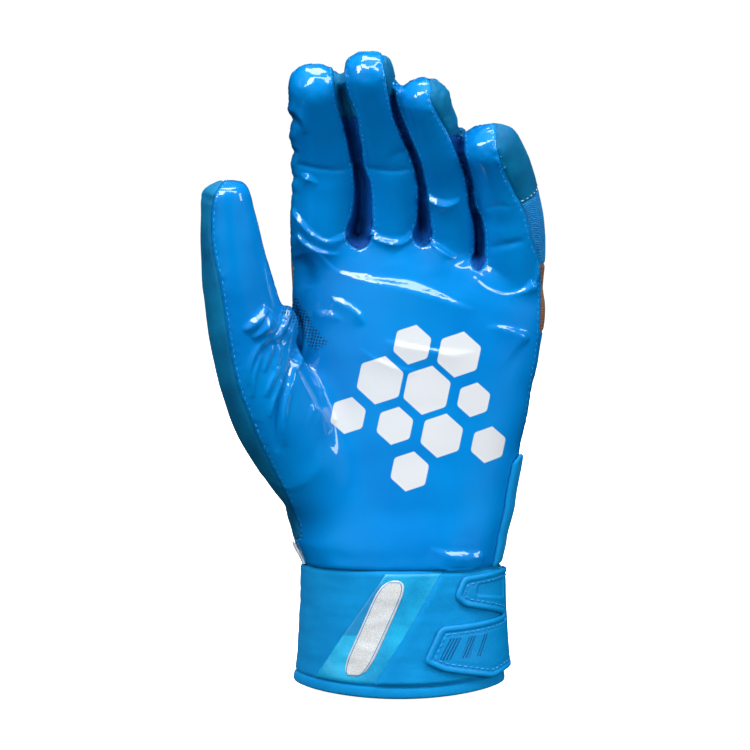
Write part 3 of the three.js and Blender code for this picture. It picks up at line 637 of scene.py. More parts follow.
# %% The folds of the palm and the creases of the joints
# A band has a path, its widths, the degrees up that it should face, and its fade. A fold has a path, a width and a
# height.
bands = [
    # the long fold under the knuckles
    ([(316, 246), (323, 256), (333, 267), (347, 274), (367, 278), (386, 281), (407, 285), (421, 289), (438, 295),
      (455, 302), (474, 309)], [1.5, 2, 2.6, 5, 9, 12, 12, 9, 6, 3], [35, 34, 33, 33, 34, 34, 35, 40, 44, 44], 18),
    # under the first bones: index, middle, ring, little
    ([(294, 207), (297, 213), (303, 221), (314, 233), (327, 240), (342, 235), (348, 230)], [2, 2.4, 2.6, 3, 4, 3],
     [38, 38, 38, 36, 30, 28], 12),
    ([(300, 232), (306, 240), (315, 247), (329, 252), (340, 253)], [2.4, 3, 2.6], 42, 10),
    ([(369, 224), (373, 231), (381, 237), (393, 240), (404, 238), (411, 231)], [2, 3, 3.6, 5, 5, 3],
     [37, 38, 38, 34, 28, 26], 12),
    ([(432, 236), (436, 243), (443, 249), (450, 254), (457, 257)], [3, 5, 7, 5], 40, 12),
    ([(475, 276), (479, 281), (486, 287), (497, 292), (507, 294), (519, 291), (527, 286), (531, 280)],
     [3, 4, 3.6, 3.4, 3.4, 4, 3], [33, 33, 34, 35, 39, 40], 14),
    # short folds in the hollow of the palm
    ([(332, 297), (340, 300), (352, 306), (361, 314), (366, 324)], [5, 5.5, 5.5, 4], 33, 12),
    ([(314, 311), (322, 312), (334, 314), (344, 320)], [4, 6, 6, 3], 26, 10),
    ([(384, 339), (394, 342), (411, 346), (430, 349), (450, 352), (474, 351)], [3, 5, 5, 4, 5, 6, 3], 33, 16),
    ([(360, 347), (366, 352), (380, 360), (402, 368), (420, 371)], [1.6, 2, 3, 3, 1.6], 33, 10),
    ([(486, 326), (496, 326), (512, 329), (524, 334), (530, 339)], [3, 5, 6, 7, 5], 31, 14),
    ([(312, 404), (324, 408), (338, 420)], [6, 12, 8], 30, 14),
    # the heel of the hand, above the cuff
    ([(430, 548), (450, 553), (484, 554)], [3, 6, 8, 6], 33, 14),
    ([(438, 567), (456, 570), (480, 566)], [2, 2.6, 2], 33, 8),
    # the first joints of the ring and the index finger
    ([(427, 192), (434, 198), (446, 202), (460, 199)], [2, 3.4, 4, 3], 36, 12),
    ([(301, 173), (309, 176), (319, 184)], [1.5, 3.6, 1.5], 31, 8),
    # the thumb's root
    ([(243, 330), (254, 319), (266, 306)], [4, 7, 6], 31, 9),
    ([(252, 338), (261, 327), (269, 314)], [3, 6, 4], 31, 9),
]
folds = [
    # the hollow by the index finger, and the skin under the gaps
    ([(298, 256), (304, 270), (308, 288)], 11.0, -2.2),
    ([(531, 292), (535, 282), (538, 270), (539, 262)], 2.2, 0.7),
    # the folds that run down from the crotch of the thumb
    ([(295, 312), (299, 326), (299, 341), (293, 362), (286, 383), (279, 402), (276, 426), (278, 452)], 3.0, -2.2),
    ([(270, 336), (259, 347), (252, 362), (248, 385)], 2.4, 1.0),
    ([(261, 355), (255, 375), (253, 398)], 2.4, 0.9),
    ([(273, 346), (268, 358), (264, 372)], 2.2, 0.8),
    ([(279, 344), (278, 358), (274, 370)], 2.4, 0.7),
    ([(279, 366), (272, 380), (266, 397)], 2.4, 1.0),
    ([(283, 380), (275, 399), (270, 418)], 2.4, 1.0),
    ([(305, 322), (306, 338), (302, 356), (296, 372)], 2.6, 1.0),
    ([(291, 384), (286, 402), (284, 424), (286, 446)], 3.0, 0.9),
    ([(286, 301), (289, 313), (285, 325), (272, 342)], 2.8, 1.4),
    ([(296, 306), (294, 320), (287, 334), (280, 346)], 2.4, -0.9),
    # creases of the finger joints
    ([(295, 164), (325, 170), (354, 169)], 2.6, -0.7),
    ([(365, 168), (390, 171), (414, 169)], 2.6, -0.6),
    ([(486, 209), (497, 206), (510, 207)], 2.6, -0.35),
    ([(488, 248), (505, 245), (524, 241)], 3.4, -0.7),
    ([(390, 158), (402, 152), (415, 150)], 4.0, -0.4),
    ([(290, 108), (298, 113), (304, 122), (306, 134)], 3.2, 0.8),
    ([(496, 158), (500, 163), (505, 170)], 2.2, 0.5),
]
gaps_seen = [
    # the coated edges on both sides of each gap, as the camera sees them, and where its strip starts below the tips
    dict(start=118, path=[
        (331, 58), (334, 68), (334.5, 76), (336, 90), (338.5, 105), (341, 113), (346, 130), (350, 149), (354, 166),
        (355.5, 180), (356, 194), (354, 212), (349, 226), (347, 236), (351, 244), (359, 248), (367, 244), (371, 234),
        (371, 212), (370, 194), (368, 180), (362.5, 166), (361, 149), (358, 130), (355, 113), (350, 105), (345, 90),
        (343, 76), (344, 66), (347, 56)]),
    dict(start=96, path=[
        (381, 46), (384, 58), (385.5, 68), (387, 78), (388, 88), (390, 97), (392, 105), (394, 115), (400, 128),
        (405, 140), (409, 150), (415, 163), (419, 180), (420, 192), (420, 205), (419.5, 218), (416, 228),
        (414.5, 236), (418, 243), (423, 246), (428, 243), (431, 234), (429, 218), (427, 205), (425.5, 192),
        (423, 180), (419.5, 163), (414, 150), (409.5, 140), (404.5, 128), (399, 115), (395.5, 105), (393.5, 97),
        (393, 88), (395, 80), (400, 74), (404, 66)]),
    dict(start=136, path=[
        (428, 72), (430.5, 84), (431, 98), (434, 107), (437, 113), (443.5, 124), (447, 130), (452.5, 141),
        (457.5, 152), (463, 165), (467, 176), (469.5, 190), (471, 206), (473.5, 215), (476, 228), (476.5, 240),
        (475.5, 250), (473, 259), (475, 267), (479, 270), (483, 265), (484, 252), (483.5, 240), (482.5, 228),
        (480, 219), (475, 210), (472.5, 200), (471.5, 190), (469.5, 176), (466, 165), (463.5, 152), (462.5, 141),
        (463, 130), (466, 122), (470, 116), (476, 108)]),
]


def lower_end(path):
    """The part of a gap's outline round its bottom, which is the middle of the path."""
    return [(x, y) for x, y in path if y > path[len(path) // 2][1] - 22]


gap_ends = [lower_end(gap["path"]) for gap in gaps_seen]

# %% Finer faces beside the folds, then the folds
FINE_REACH = 4.6
paths = [f[0] for f in folds + bands] + gap_ends
samples = np.vstack([smooth_path(path, 60) for path in paths])
tree = kdtree.KDTree(len(samples))
for i, (x, y) in enumerate(samples):
    tree.insert((x, y, 0), i)
tree.balance()
px, py = seen(points)
near_fold = np.array([tree.find((x, y, 0))[2] < FINE_REACH for x, y in zip(px, py)]) & (normals(skin)[:, 1] < 0.1)
finer, even = (bpy.ops.mesh.subdivide, {"number_cuts": 1}), (bpy.ops.mesh.vertices_smooth, {"factor": 0.5, "repeat": 3})
edit(skin, finer, even, chosen=near_fold)
points = places(skin)
palm, each, weight = shares(points)
print("skin with finer folds:", len(points), "vertices")
front = step(-normals(skin)[:, 1], 0.02, 0.35)
facing = normals(skin)
relief = sum(fold(points, front, *one) for one in folds)
relief += sum(band(points, facing, front, *one) for one in bands)
print("folds:", len(folds) + len(bands), "from %.2f to %.2f mm" % (relief.min(), relief.max()))

# %% The gathered outer edge of the index finger, and crumpled tips
gathers = [
    ([(284, 117), (291, 120), (299, 128)], 3.6, -1.3), ([(286, 109), (291, 108), (297, 104)], 4.5, 0.6),
    ([(285, 137), (291, 136), (296, 134)], 4.0, 0.7), ([(286, 151), (292, 152), (298, 154)], 3.2, -1.0),
    ([(286, 163), (292, 164), (298, 166)], 3.6, 0.5), ([(286, 176), (293, 178), (300, 180)], 3.0, -0.8),
    ([(287, 192), (293, 193), (299, 194)], 3.0, -0.5), ([(201, 196), (207, 198), (212, 202)], 3.4, -0.7),
]
side_on = step(normals(skin)[:, 1], 0.6, 0.3)
relief += sum(fold(points, side_on, *one) for one in gathers)
for k, d in enumerate(digits):
    tip = step(each[k][0], d["length"] - 9, d["length"] - 1) * (weight[:, k + 1] > 0.5)
    crumpled = 1.1 * fine_noise(points, 3.6, k) + 0.55 * fine_noise(points, 1.9, k + 3)
    relief += tip * (0.2 if d["name"] == "thumb" else 0.42) * crumpled

# %% Slow unevenness all over, and wrinkles round the wrist
relief += 0.16 * fine_noise(points, 17) + 0.07 * fine_noise(points, 7, 5)
wrist = step(points[:, 2], 66, CUFF_HEIGHT)
relief += wrist * 0.35 * fine_noise(points * [1, 1, 2.2], 9, 9)
points = points + normals(skin) * relief[:, None]

# %% Deep gaps between the fingers
GAP_DEPTH = 6.5
# Each gap's middle line, and its half width in pixels at these heights in the picture
gap_lines = [
    ([(341, 84), (344, 98), (348, 110), (352, 130), (355.5, 149), (358, 166), (362, 180), (363, 194), (362.5, 212),
      (360, 228), (359, 240)],
     [(84, 5), (110, 6.5), (130, 6), (149, 5.5), (166, 5), (180, 7), (212, 9), (240, 8)]),
    ([(390, 88), (393, 100), (397, 115), (402, 128), (407, 140), (412, 150), (417, 163), (421, 180), (423, 192),
      (424, 212), (423, 238)],
     [(88, 3), (115, 3.6), (150, 4), (192, 4.4), (215, 6.5), (238, 6.5)]),
    ([(463, 122), (458, 136), (460.5, 152), (465, 165), (468, 176), (470.5, 190), (472, 206), (477, 218),
      (479.5, 230), (480, 246), (478, 262)],
     [(122, 5), (136, 6), (152, 4), (176, 3), (206, 3), (225, 4.5), (262, 5)]),
]
px, py = seen(points)
carved = np.zeros(len(points))
for path, widths in gap_lines:
    distance, share = near_path(px, py, path)
    wide = np.interp(py, *zip(*widths)) * 1.15
    ends = step(share, 0.0, 0.06) * step(share, 1.0, 0.95)
    cut = np.clip(1 - (distance / wide) ** 2, 0, 1) ** 1.5
    carved = np.maximum(carved, GAP_DEPTH * cut * ends * (normals(skin)[:, 1] < 0.3) * (points[:, 1] < 6))
points[:, 1] += carved
move(skin, points)
soften(skin, 6, carved > 0.3)
points = places(skin)

# %% A sharp rim round the bottom of each gap
RIM_HEIGHTS = (0.6, 0.6, 0.2)
px, py = seen(points)
rim = np.zeros(len(points))
for path, high in zip(gap_ends, RIM_HEIGHTS):
    distance, share = near_path(px, py, path)
    at_end = step(share, 0.0, 0.3) * step(share, 1.0, 0.7) * (points[:, 1] < 2) * step(normals(skin)[:, 1], 0.4, 0.1)
    rim = np.maximum(rim, high * step(distance, -2.2, 0.4) * np.exp(-np.maximum(distance, 0) / 8) * at_end)
points[:, 1] -= rim
move(skin, points)

# %% [markdown]
# ## Seams
# A seam is where a number changes sign. For every vertex, one number says how far it is to the palm side of the coated
# panel's edge, another how far inside a strip, and so on, all in millimetres. Blender's bisect cuts along a plane, so
# the mesh is laid out with that number as its x, cut at x = 0, and put back from a copy of its places. The cut then
# runs smoothly along the seam, through the faces.

# %% How far each vertex is inside each panel
STRIP_WIDTH = 8
BACK_STARTS = [0.3, 0.3, 0.3, 0.56]  # where the woven backs begin, as shares of the fingers
neighbours = {"index": (1,), "middle": (-1, 1), "ring": (-1, 1), "little": (-1,), "thumb": ()}
x, y, z = points.T
up, depth, palm_front, _ = palm
coated_parts, strip_parts, toward = [], [], {}
for k, d in enumerate(digits):
    s, a, b, _ = each[k]
    across, _, _, seam = digit_section(d, s)
    share = s / d["length"]
    half = STRIP_WIDTH / 2 * np.minimum(1, 1.5 * np.sqrt(np.clip(1 - np.maximum(0, share) / 0.82, 0, 1)))
    near_web = np.exp(-(((s - 1) / 8) ** 2))
    turned = np.zeros(len(s))
    for side in neighbours[d["name"]]:
        toward[d["name"], side] = step(a * side / across, 0.1, 0.55)
        turned = np.maximum(turned, toward[d["name"], side])
    # Towards a finger's outer side, the woven back shows a little round its edge.
    outer = step(share, 0.42, 0.62) * step(0.97, 0.88, share) if d["name"] != "thumb" else 0
    coated_parts.append(b + seam - turned * (half + 4.5 * near_web) - 2.2 * outer * step(a / across, 0.1, 0.6))
    strip_parts.append(np.minimum(b + half, (turned - 0.5) * 20))
little_side = [
    (500, 112), (497, 122), (496.5, 132), (496.5, 145), (500.5, 160), (504, 170), (508.5, 180), (512.5, 188),
    (516, 195), (522, 205), (528, 220), (532.5, 240), (538, 252), (541, 262), (542, 290), (541, 330), (539, 352),
    (534, 380), (528, 420),
]
thumb_edge = [
    (230, 168), (224, 178), (214, 194), (210.5, 215), (211, 240), (214, 260), (218.5, 280), (222, 300), (225, 320),
    (229, 345), (233.5, 370), (240, 395), (248, 415), (258, 440), (270, 465), (283, 490), (292, 510), (299, 530),
    (304, 552),
]
px, py = seen(points)


def beside_path(path):
    """Millimetres from a smooth path, over 0 on its left as it is drawn downwards, for the places near it."""
    line = smooth_path(path, 700)
    close = np.flatnonzero(near_box(px, py, line, 40))
    value = np.full(len(px), 9.0)
    across, distance, _ = beside_line(px[close], py[close], line)
    value[close] = np.sign(across) * distance * PIXEL
    near = np.abs(value[close]) < 1
    value[close[near]] = across[near] * PIXEL
    return value


between = np.zeros(len(points))
for one, other in (("index", "middle"), ("middle", "ring"), ("ring", "little")):
    between = np.maximum(between, toward[one, 1] * toward[other, -1] * step(up, 0.86, 0.95))
coated = weight[:, 0] * (depth - mix(0.1 * palm_front, 8.5, between))
strip = weight[:, 0] * np.minimum(depth + 4, (between - 0.5) * 20)
for k in range(5):
    coated += weight[:, k + 1] * coated_parts[k]
    strip += weight[:, k + 1] * strip_parts[k]
faces_camera = step(normals(skin)[:, 1], 0.45, 0.25)
for gap in gaps_seen:
    clear = beside_path(gap["path"])
    near = (clear < 5) & (clear > -14) & (faces_camera > 0) & (weight[:, 5] < 0.1) & (py < 275)
    coated = np.where(near, mix(np.minimum(coated, clear), clear, faces_camera), coated)
    started = (py - gap["start"]) * PIXEL
    strip = np.where(near & (clear < 2), mix(strip, np.minimum(started, 3), faces_camera), strip)
clear = beside_path(little_side)
near = (np.abs(clear) < 14) & (faces_camera > 0) & (px > 480) & (py > 112)
coated = np.where(near, np.minimum(coated, mix(14, clear, faces_camera)), coated)
clear = -beside_path(thumb_edge)
near = (clear < 5) & (clear > -16) & (faces_camera > 0) & (px < 302) & (py > 172) & (py < 540)
coated = np.where(near, mix(np.minimum(coated, clear), clear, faces_camera), coated)
finger_back = -15 * (weight[:, 0] + weight[:, 5])
for k in range(4):
    finger_back += weight[:, k + 1] * (each[k][0] - BACK_STARTS[k] * digits[k]["length"])
# The back's knit ends at this x towards the thumb, and the knuckle band runs a little aslant across it.
side_line = np.interp(z, [CUFF_HEIGHT, 100, 122, 138], [-22, -31, -42, -70])
thumb_side = mix(side_line - x, 12.0, np.clip(weight[:, 5] * 1.6, 0, 1) * (z > 60))
aslant = lambda share: z - (CUFF_HEIGHT + share * PALM_LENGTH - 0.12 * x)
band_low, band_high = aslant(0.74) - 9, aslant(0.95) - 10.5
inside = dict(coated=coated, strip=strip, finger_back=finger_back, thumb_side=thumb_side, band_low=band_low,
              band_high=band_high, above_cuff=z - CUFF_HEIGHT - 0.35, digit=weight[:, 1:].argmax(1).astype(float))
for name, value in inside.items():
    write(skin, name, value)
print({name: "%.1f to %.1f" % (v.min(), v.max()) for name, v in inside.items()})


# %% Cutting a mesh where a number is 0
def trim(piece, name, keep_over=True):
    """Cuts a piece along the line where its number of that name is 0, and keeps one side."""
    laid = places(piece)
    note(piece, "rest", *laid.T)
    laid[:, 0] = reading(piece, name)
    move(piece, laid * 1000)
    cleared = dict(clear_inner=keep_over, clear_outer=not keep_over)
    edit(piece, (bpy.ops.mesh.bisect, dict(plane_co=(0, 0, 0), plane_no=(1, 0, 0), threshold=0.03, **cleared)))
    back = np.empty(len(piece.data.vertices) * 3, np.float32)
    piece.data.attributes["rest"].data.foreach_get("vector", back)
    move(piece, back.reshape(-1, 3).astype(float))
    piece.data.attributes.remove(piece.data.attributes["rest"])
    return piece


def copy_of(piece, name):
    twin = piece.copy()
    twin.data = piece.data.copy()
    twin.name = twin.data.name = name
    bpy.context.scene.collection.objects.link(twin)
    return twin


def split(piece, name, over, under):
    """Two pieces from one: over where the number is over 0, and under where it is under 0."""
    low = trim(copy_of(piece, under), name, keep_over=False)
    high = trim(piece, name)
    high.name = high.data.name = over
    return high, low


trim(skin, "above_cuff")
coated_palm, rest = split(skin, "coated", "coated_palm", "rest")
web_strips, rest = split(rest, "strip", "web_strips", "rest_of_back")
woven_backs, rest = split(rest, "finger_back", "woven_backs", "rest_of_hand")
woven_thumb, rest = split(rest, "thumb_side", "woven_thumb", "rest_of_knit")
upper, hand_knit = split(rest, "band_low", "upper_back", "hand_knit")
knuckle_cover, knuckle_stripe = split(upper, "band_high", "knuckle_cover", "knuckle_stripe")
for piece in (coated_palm, web_strips, woven_backs, woven_thumb, hand_knit, knuckle_stripe, knuckle_cover):
    print(piece.name, len(piece.data.vertices), "vertices")

# %% [markdown]
# ## Sewn edges and thickness
# A cut sheet would meet its neighbour edge to edge, like paint. Cloth that is sewn and turned rolls in along its seam,
# so the faces near each edge are divided once more and the last millimetre and a half is bent down into a groove.
# The thread gathers the coated edge, which makes small puckers. Only then does Solidify give the sheet its thickness
# inwards.


# %% Rolling the edges in
def edge_distance(piece, reach):
    """Distance in millimetres of each vertex from the sheet's open edge, up to a reach."""
    flags = np.zeros(len(piece.data.vertices), bool)
    used = np.zeros(len(piece.data.edges), int)
    loops = np.empty(len(piece.data.loops), int)
    piece.data.loops.foreach_get("edge_index", loops)
    np.add.at(used, loops, 1)
    ends = np.empty(len(piece.data.edges) * 2, int)
    piece.data.edges.foreach_get("vertices", ends)
    flags[ends.reshape(-1, 2)[used == 1].ravel()] = True
    spots = places(piece)
    tree = kdtree.KDTree(int(flags.sum()))
    for i in np.flatnonzero(flags):
        tree.insert(spots[i], int(i))
    tree.balance()
    return np.array([min(tree.find(p)[2], reach) for p in spots])


def sew(piece, roll=0.5, width=1.5, pucker=0.0, thickness=1.1):
    """Divides the faces along the edge, rolls the edge in, gathers it and gives the sheet its thickness."""
    piece.data.attributes.remove(piece.data.attributes["digit"])
    edit(piece, (bpy.ops.mesh.dissolve_degenerate, {"threshold": 2e-5}))
    near = edge_distance(piece, 3.0) < 1.9
    edit(piece, (bpy.ops.mesh.subdivide, {"number_cuts": 1, "smoothness": 0.2}), chosen=near)
    spots, out = places(piece), normals(piece)
    d = edge_distance(piece, 6.0)
    lowered = roll * np.clip(1 - d / width, 0, 1) ** 2
    gathered = np.zeros(len(d))
    if pucker:
        wave = fine_noise(spots, 2.1, 3)
        gathered = pucker * wave * np.clip(1 - np.abs(d - 1.6) / 3.2, 0, 1) * (spots[:, 2] > 58)
    move(piece, spots + out * (gathered - lowered)[:, None])
    thicken(piece, thickness)


# %% [markdown]
# ## Stitches
# Every seam is held by a row of short stitches a little way in from the edge. One stitch is modelled as a small
# capsule. Its copies are laid along the line where a panel's number has one value, which runs beside the seam at a
# constant distance.


# %% Lines along a panel, and stitches on them
def level_lines(piece, name, level):
    """Polylines on a piece where its number has this value, as arrays of places, with the ways out of the surface."""
    piece.data.calc_loop_triangles()
    tris = np.empty(len(piece.data.loop_triangles) * 3, int)
    piece.data.loop_triangles.foreach_get("vertices", tris)
    tris = tris.reshape(-1, 3)
    value, spots, out = reading(piece, name) - level, places(piece), normals(piece)
    over = value > 0
    mixed_tris = tris[(over[tris].sum(1) % 3) != 0]
    crossings, links = {}, {}
    for tri in mixed_tris.tolist():
        ends = []
        for p, q in ((0, 1), (1, 2), (2, 0)):
            i, j = sorted((tri[p], tri[q]))
            if over[i] != over[j]:
                ends.append((i, j))
        for key in ends:
            if key not in crossings:
                t = value[key[0]] / (value[key[0]] - value[key[1]])
                crossings[key] = (mix(spots[key[0]], spots[key[1]], t), mix(out[key[0]], out[key[1]], t))
            links.setdefault(key, []).append(ends[0] if key == ends[1] else ends[1])
    lines, left = [], set(links)
    starts = [k for k in links if len(links[k]) == 1] + list(links)
    for first in starts:
        if first not in left:
            continue
        run, now = [], first
        while now is not None:
            left.discard(now)
            run.append(now)
            now = next((k for k in links[now] if k in left), None)
        if len(run) > 4:
            lines.append((np.array([crossings[k][0] for k in run]), np.array([crossings[k][1] for k in run])))
    return lines


def along_lines(lines, spacing, keep=None, shortest=0.0):
    """Places, ways along and ways out at equal steps on the lines that are long enough, where keep(places) allows."""
    spots, ways, outs = [], [], []
    for line, out in lines:
        for _ in range(3):
            line[1:-1] = (line[:-2] + 2 * line[1:-1] + line[2:]) / 4
        length = np.append(0, np.cumsum(np.linalg.norm(np.diff(line, axis=0), axis=1)))
        count = int(length[-1] / spacing)
        if count < 2 or length[-1] < shortest:
            continue
        at = (np.arange(count) + 0.5) * length[-1] / count
        read = lambda rows, q: np.stack([np.interp(q, length, rows[:, k]) for k in range(3)], -1)
        spots.append(read(line, at))
        ways.append(read(line, np.minimum(at + 0.4, length[-1])) - read(line, np.maximum(at - 0.4, 0)))
        outs.append(read(out, at))
    spots, ways, outs = np.vstack(spots), unit(np.vstack(ways)), unit(np.vstack(outs))
    if keep is not None:
        allowed = keep(spots)
        spots, ways, outs = spots[allowed], ways[allowed], outs[allowed]
    return spots, ways, outs


def stitches(name, rows, long=1.8, wide=0.5, sink=0.1):
    """One capsule, copied to every place in the rows, in one mesh."""
    spots, ways, outs = rows
    bpy.ops.object.select_all(action="DESELECT")
    bpy.ops.mesh.primitive_uv_sphere_add(segments=6, ring_count=5, radius=0.0005)
    master = bpy.context.object
    edit(master, (bpy.ops.transform.rotate, {"value": math.pi / 2, "orient_axis": "Y", "center_override": (0, 0, 0)}))
    shape = places(master)
    shape /= np.abs(shape).max(0)
    x = np.sign(shape[:, 0]) * np.abs(shape[:, 0]) ** 0.6
    arch = -0.35 * x**2 * wide
    side = np.cross(outs, ways)
    flat_faces = [list(p.vertices) for p in master.data.polygons]
    body = (
        spots[:, None]
        + (x * long / 2)[None, :, None] * ways[:, None]
        + (shape[:, 1] * wide / 2)[None, :, None] * side[:, None]
        + (shape[:, 2] * wide / 2 + arch - sink)[None, :, None] * outs[:, None]
    )
    faces = [[i * len(shape) + v for v in f] for i in range(len(spots)) for f in flat_faces]
    mesh = bpy.data.meshes.new(name)
    mesh.from_pydata((body.reshape(-1, 3) / 1000).tolist(), [], faces)
    piece = bpy.data.objects.new(name, mesh)
    bpy.context.scene.collection.objects.link(piece)
    bpy.data.objects.remove(master)
    edit(piece, FACE_OUT)
    smooth(piece)
    print(name, len(spots), "stitches")
    return piece


# %% Sewing the panels of the hand
above_web = lambda spots: spots[:, 2] > 52
coated_rows = along_lines(level_lines(coated_palm, "coated", 1.3), 2.3, above_web, shortest=25)
seam_stitches = stitches("seam_stitches", coated_rows, 1.5, 0.46, 0.1)
back_rows = along_lines(level_lines(woven_backs, "finger_back", 1.2), 2.0)
back_stitches = stitches("back_stitches", back_rows, 1.3, 0.42, 0.05)
sew(coated_palm, 0.55, 1.5, 0.28, 1.2)
sew(web_strips, 0.5, 1.6, 0.3)
for piece in (woven_backs, woven_thumb, hand_knit, knuckle_stripe, knuckle_cover):
    sew(piece, 0.45, 1.3, 0.05)

# %% [markdown]
# ## The cuff
# The cuff is a soft foam tube in knitted cloth, with a bound hem, and everything else at the wrist is a sheet that lies
# on it. So one rule says where the cuff's skin is, for an angle round the wrist and a share of the height, and each
# sheet is a flat grid wrapped by that rule, a little further out than the sheet below it.


# %% The cuff's skin, and pieces wrapped on it
HEM = 4.4 / CUFF_HEIGHT
CUFF_DEGREE = 0.64  # millimetres round the cuff to a degree


def cuff_point(angle, up, out):
    """A place out millimetres over the cuff, at an angle from the palm's middle and a share of the height."""
    flare = 2.4 * (1 - up) ** 2
    side = np.sin(np.radians(angle))
    lift = 3 * side**2 * (1 - up)
    across, deep = WRIST_BREADTH / 2 + flare + out, WRIST_DEPTH / 2 + 0.6 * flare + out
    return np.stack([side * across, -np.cos(np.radians(angle)) * deep, up * CUFF_HEIGHT + lift], -1)


def cuff_cloth(angle, up, seed=0.0):
    """Soft wrinkles of the foam cuff, mostly running round it."""
    at = np.column_stack([angle * CUFF_DEGREE / 2.6, up * CUFF_HEIGHT, np.full(len(up), seed)])
    return 0.28 * fine_noise(at, 7, 2) + 0.12 * fine_noise(at, 3, 7)


def cuff_skin(u, v):
    angle, up = 360 * u, mix(HEM - 0.01, 1, v)
    end = np.minimum(v, 1 - v) * 42
    rolled = 0.9 * np.clip(1 - end / 1.8, 0, 1) ** 2
    return cuff_point(angle, up, cuff_cloth(np.where(u > 0.999, 0, angle), up) * step(end, 0, 3) - rolled)


cuff_body = grid_piece("cuff_body", 300, 56, cuff_skin)
edit(cuff_body, MERGE, FACE_OUT)
thicken(cuff_body, 2.4)


def hem_skin(u, v):
    """A rounded strip, closed round its own section and round the wrist."""
    cos, sin = superellipse(v, 3.2)
    out = -1.5 + 1.85 * cos
    up = HEM / 2 + (HEM / 2) * sin
    rows = 0.03 * np.sin(u * 2 * np.pi * 104) * step(cos, 0.5, 0.9)
    return cuff_point(360 * u, up, out + rows)


hem = grid_piece("hem_strip", 312, 24, hem_skin)
edit(hem, MERGE, FACE_OUT)
smooth(hem)
print("hem:", len(hem.data.polygons), "faces")

# %% The satin panel, the overlapping panel and the tag
TRIM_LOW, TRIM_HIGH = HEM + 0.02, 0.98
TAG_MIDDLE, TAG_REACH = 0.55, 0.385
trim_share = lambda up: (up - TRIM_LOW) / (TRIM_HIGH - TRIM_LOW)
edge_at = lambda up: -13.5 + 37 * trim_share(up)


def pillow(u, v, across, high, drop, width=1.2):
    """How far a sheet's skin is lowered near its four edges, in millimetres."""
    near = np.minimum(np.minimum(u, 1 - u) * across, np.minimum(v, 1 - v) * high)
    return drop * np.clip(1 - near / width, 0, 1) ** 2


def wrapped(name, columns, rows, left, right, low, high, out, drop, wall):
    """A sheet on the cuff from one angle to another, out millimetres over the cuff's skin."""

    def place(u, v):
        up = mix(low, high, v)
        angle = mix(left(up), right(up), u)
        return cuff_point(angle, up, out + cuff_cloth(angle, up) - pillow(u, v, 26, 40, drop))

    return sheet(name, columns, rows, place, wall)


satin_sheet = wrapped(
    "satin_sheet", 70, 90, lambda up: mix(-52, -8, trim_share(up)), lambda up: edge_at(up) + 1.0,
    TRIM_LOW, TRIM_HIGH, 0.75, 0.35, 0.6,
)
front_flap = wrapped("front_flap", 170, 90, edge_at, lambda up: 98 + 0 * up, TRIM_LOW, TRIM_HIGH, 1.5, 0.7, 1.1)


def tag_half(up):
    """Half the tag's breadth in degrees: a capsule with flat sides."""
    along = np.abs(up - TAG_MIDDLE) / TAG_REACH
    return 7.8 * np.sqrt(np.clip(1 - along**7, 0.02, 1))


tag_middle = lambda up: -14.2 + 31 * (up - TAG_MIDDLE)
tag = wrapped(
    "plain_tag", 30, 90, lambda up: tag_middle(up) - tag_half(up), lambda up: tag_middle(up) + tag_half(up),
    0.166, 0.934, 1.15, 0.25, 0.45,
)

# %% [markdown]
# ## The closure strap
# The strap is moulded rubber on cloth: a band from behind that splits into two prongs, with raised rims, a sewn border
# and a shallow pocket. Its outline is a polygon with rounded corners, drawn flat. The distance from that outline is a
# number at every vertex of a fine grid, so the same cut that parted the panels cuts out the strap, and the same
# number gives the rim, the groove and the bevel.


# %% Distance from a rounded outline
def rounded(corners, radius):
    """A closed outline with each corner turned into a short curve."""
    out = []
    for i in range(len(corners)):
        before, c, after = (np.array(corners[k % len(corners)], float) for k in (i - 1, i, i + 1))
        p = c + (before - c) * min(0.48, radius / np.linalg.norm(before - c))
        q = c + (after - c) * min(0.48, radius / np.linalg.norm(after - c))
        out += [(1 - t) ** 2 * p + 2 * t * (1 - t) * c + t * t * q for t in (0, 0.25, 0.5, 0.75, 1)]
    return np.array(out)


def inset(x, y, outline):
    """Distance inside an outline, under 0 outside it."""
    a, b = outline, np.roll(outline, -1, 0)
    px, py = x[:, None] - a[:, 0], y[:, None] - a[:, 1]
    ex, ey = (b - a).T
    t = np.clip((px * ex + py * ey) / (ex**2 + ey**2), 0, 1)
    d = np.sqrt(((px - t * ex) ** 2 + (py - t * ey) ** 2).min(1))
    at_level = (a[:, 1] > y[:, None]) != (b[:, 1] > y[:, None])
    crosses = at_level & (px < (y[:, None] - a[:, 1]) * ex / np.where(ey == 0, 1e-9, ey))
    return np.where(crosses.sum(1) % 2 == 1, d, -d)


# %% The strap's outline, relief and mesh
STRAP_DEGREE = 0.66  # millimetres on the flat strap to a degree round the cuff
# Corners as degrees round the cuff and shares of its height: upper prong, end behind, lower prong, and the V
strap_corners = [
    (31, 0.79), (36.5, 0.95), (71, 0.975), (96, 0.965), (150, 0.88), (205, 0.84), (205, 0.16), (150, 0.14),
    (96, 0.14), (71, 0.12), (56, 0.095), (23, 0.21), (12.5, 0.29), (22, 0.565), (56, 0.575), (77, 0.585), (37, 0.71),
]
flat = lambda corners: [(a * STRAP_DEGREE, up * CUFF_HEIGHT) for a, up in corners]
strap_outline = rounded(flat(strap_corners), 2.2)
pocket_outline = rounded(flat([(45, 0.79), (47, 0.885), (76, 0.89), (76, 0.73)]), 1.6)


def strap_flat(u, v):
    return np.stack([mix(8, 137, u), mix(2, 48, v), 0 * u], -1)


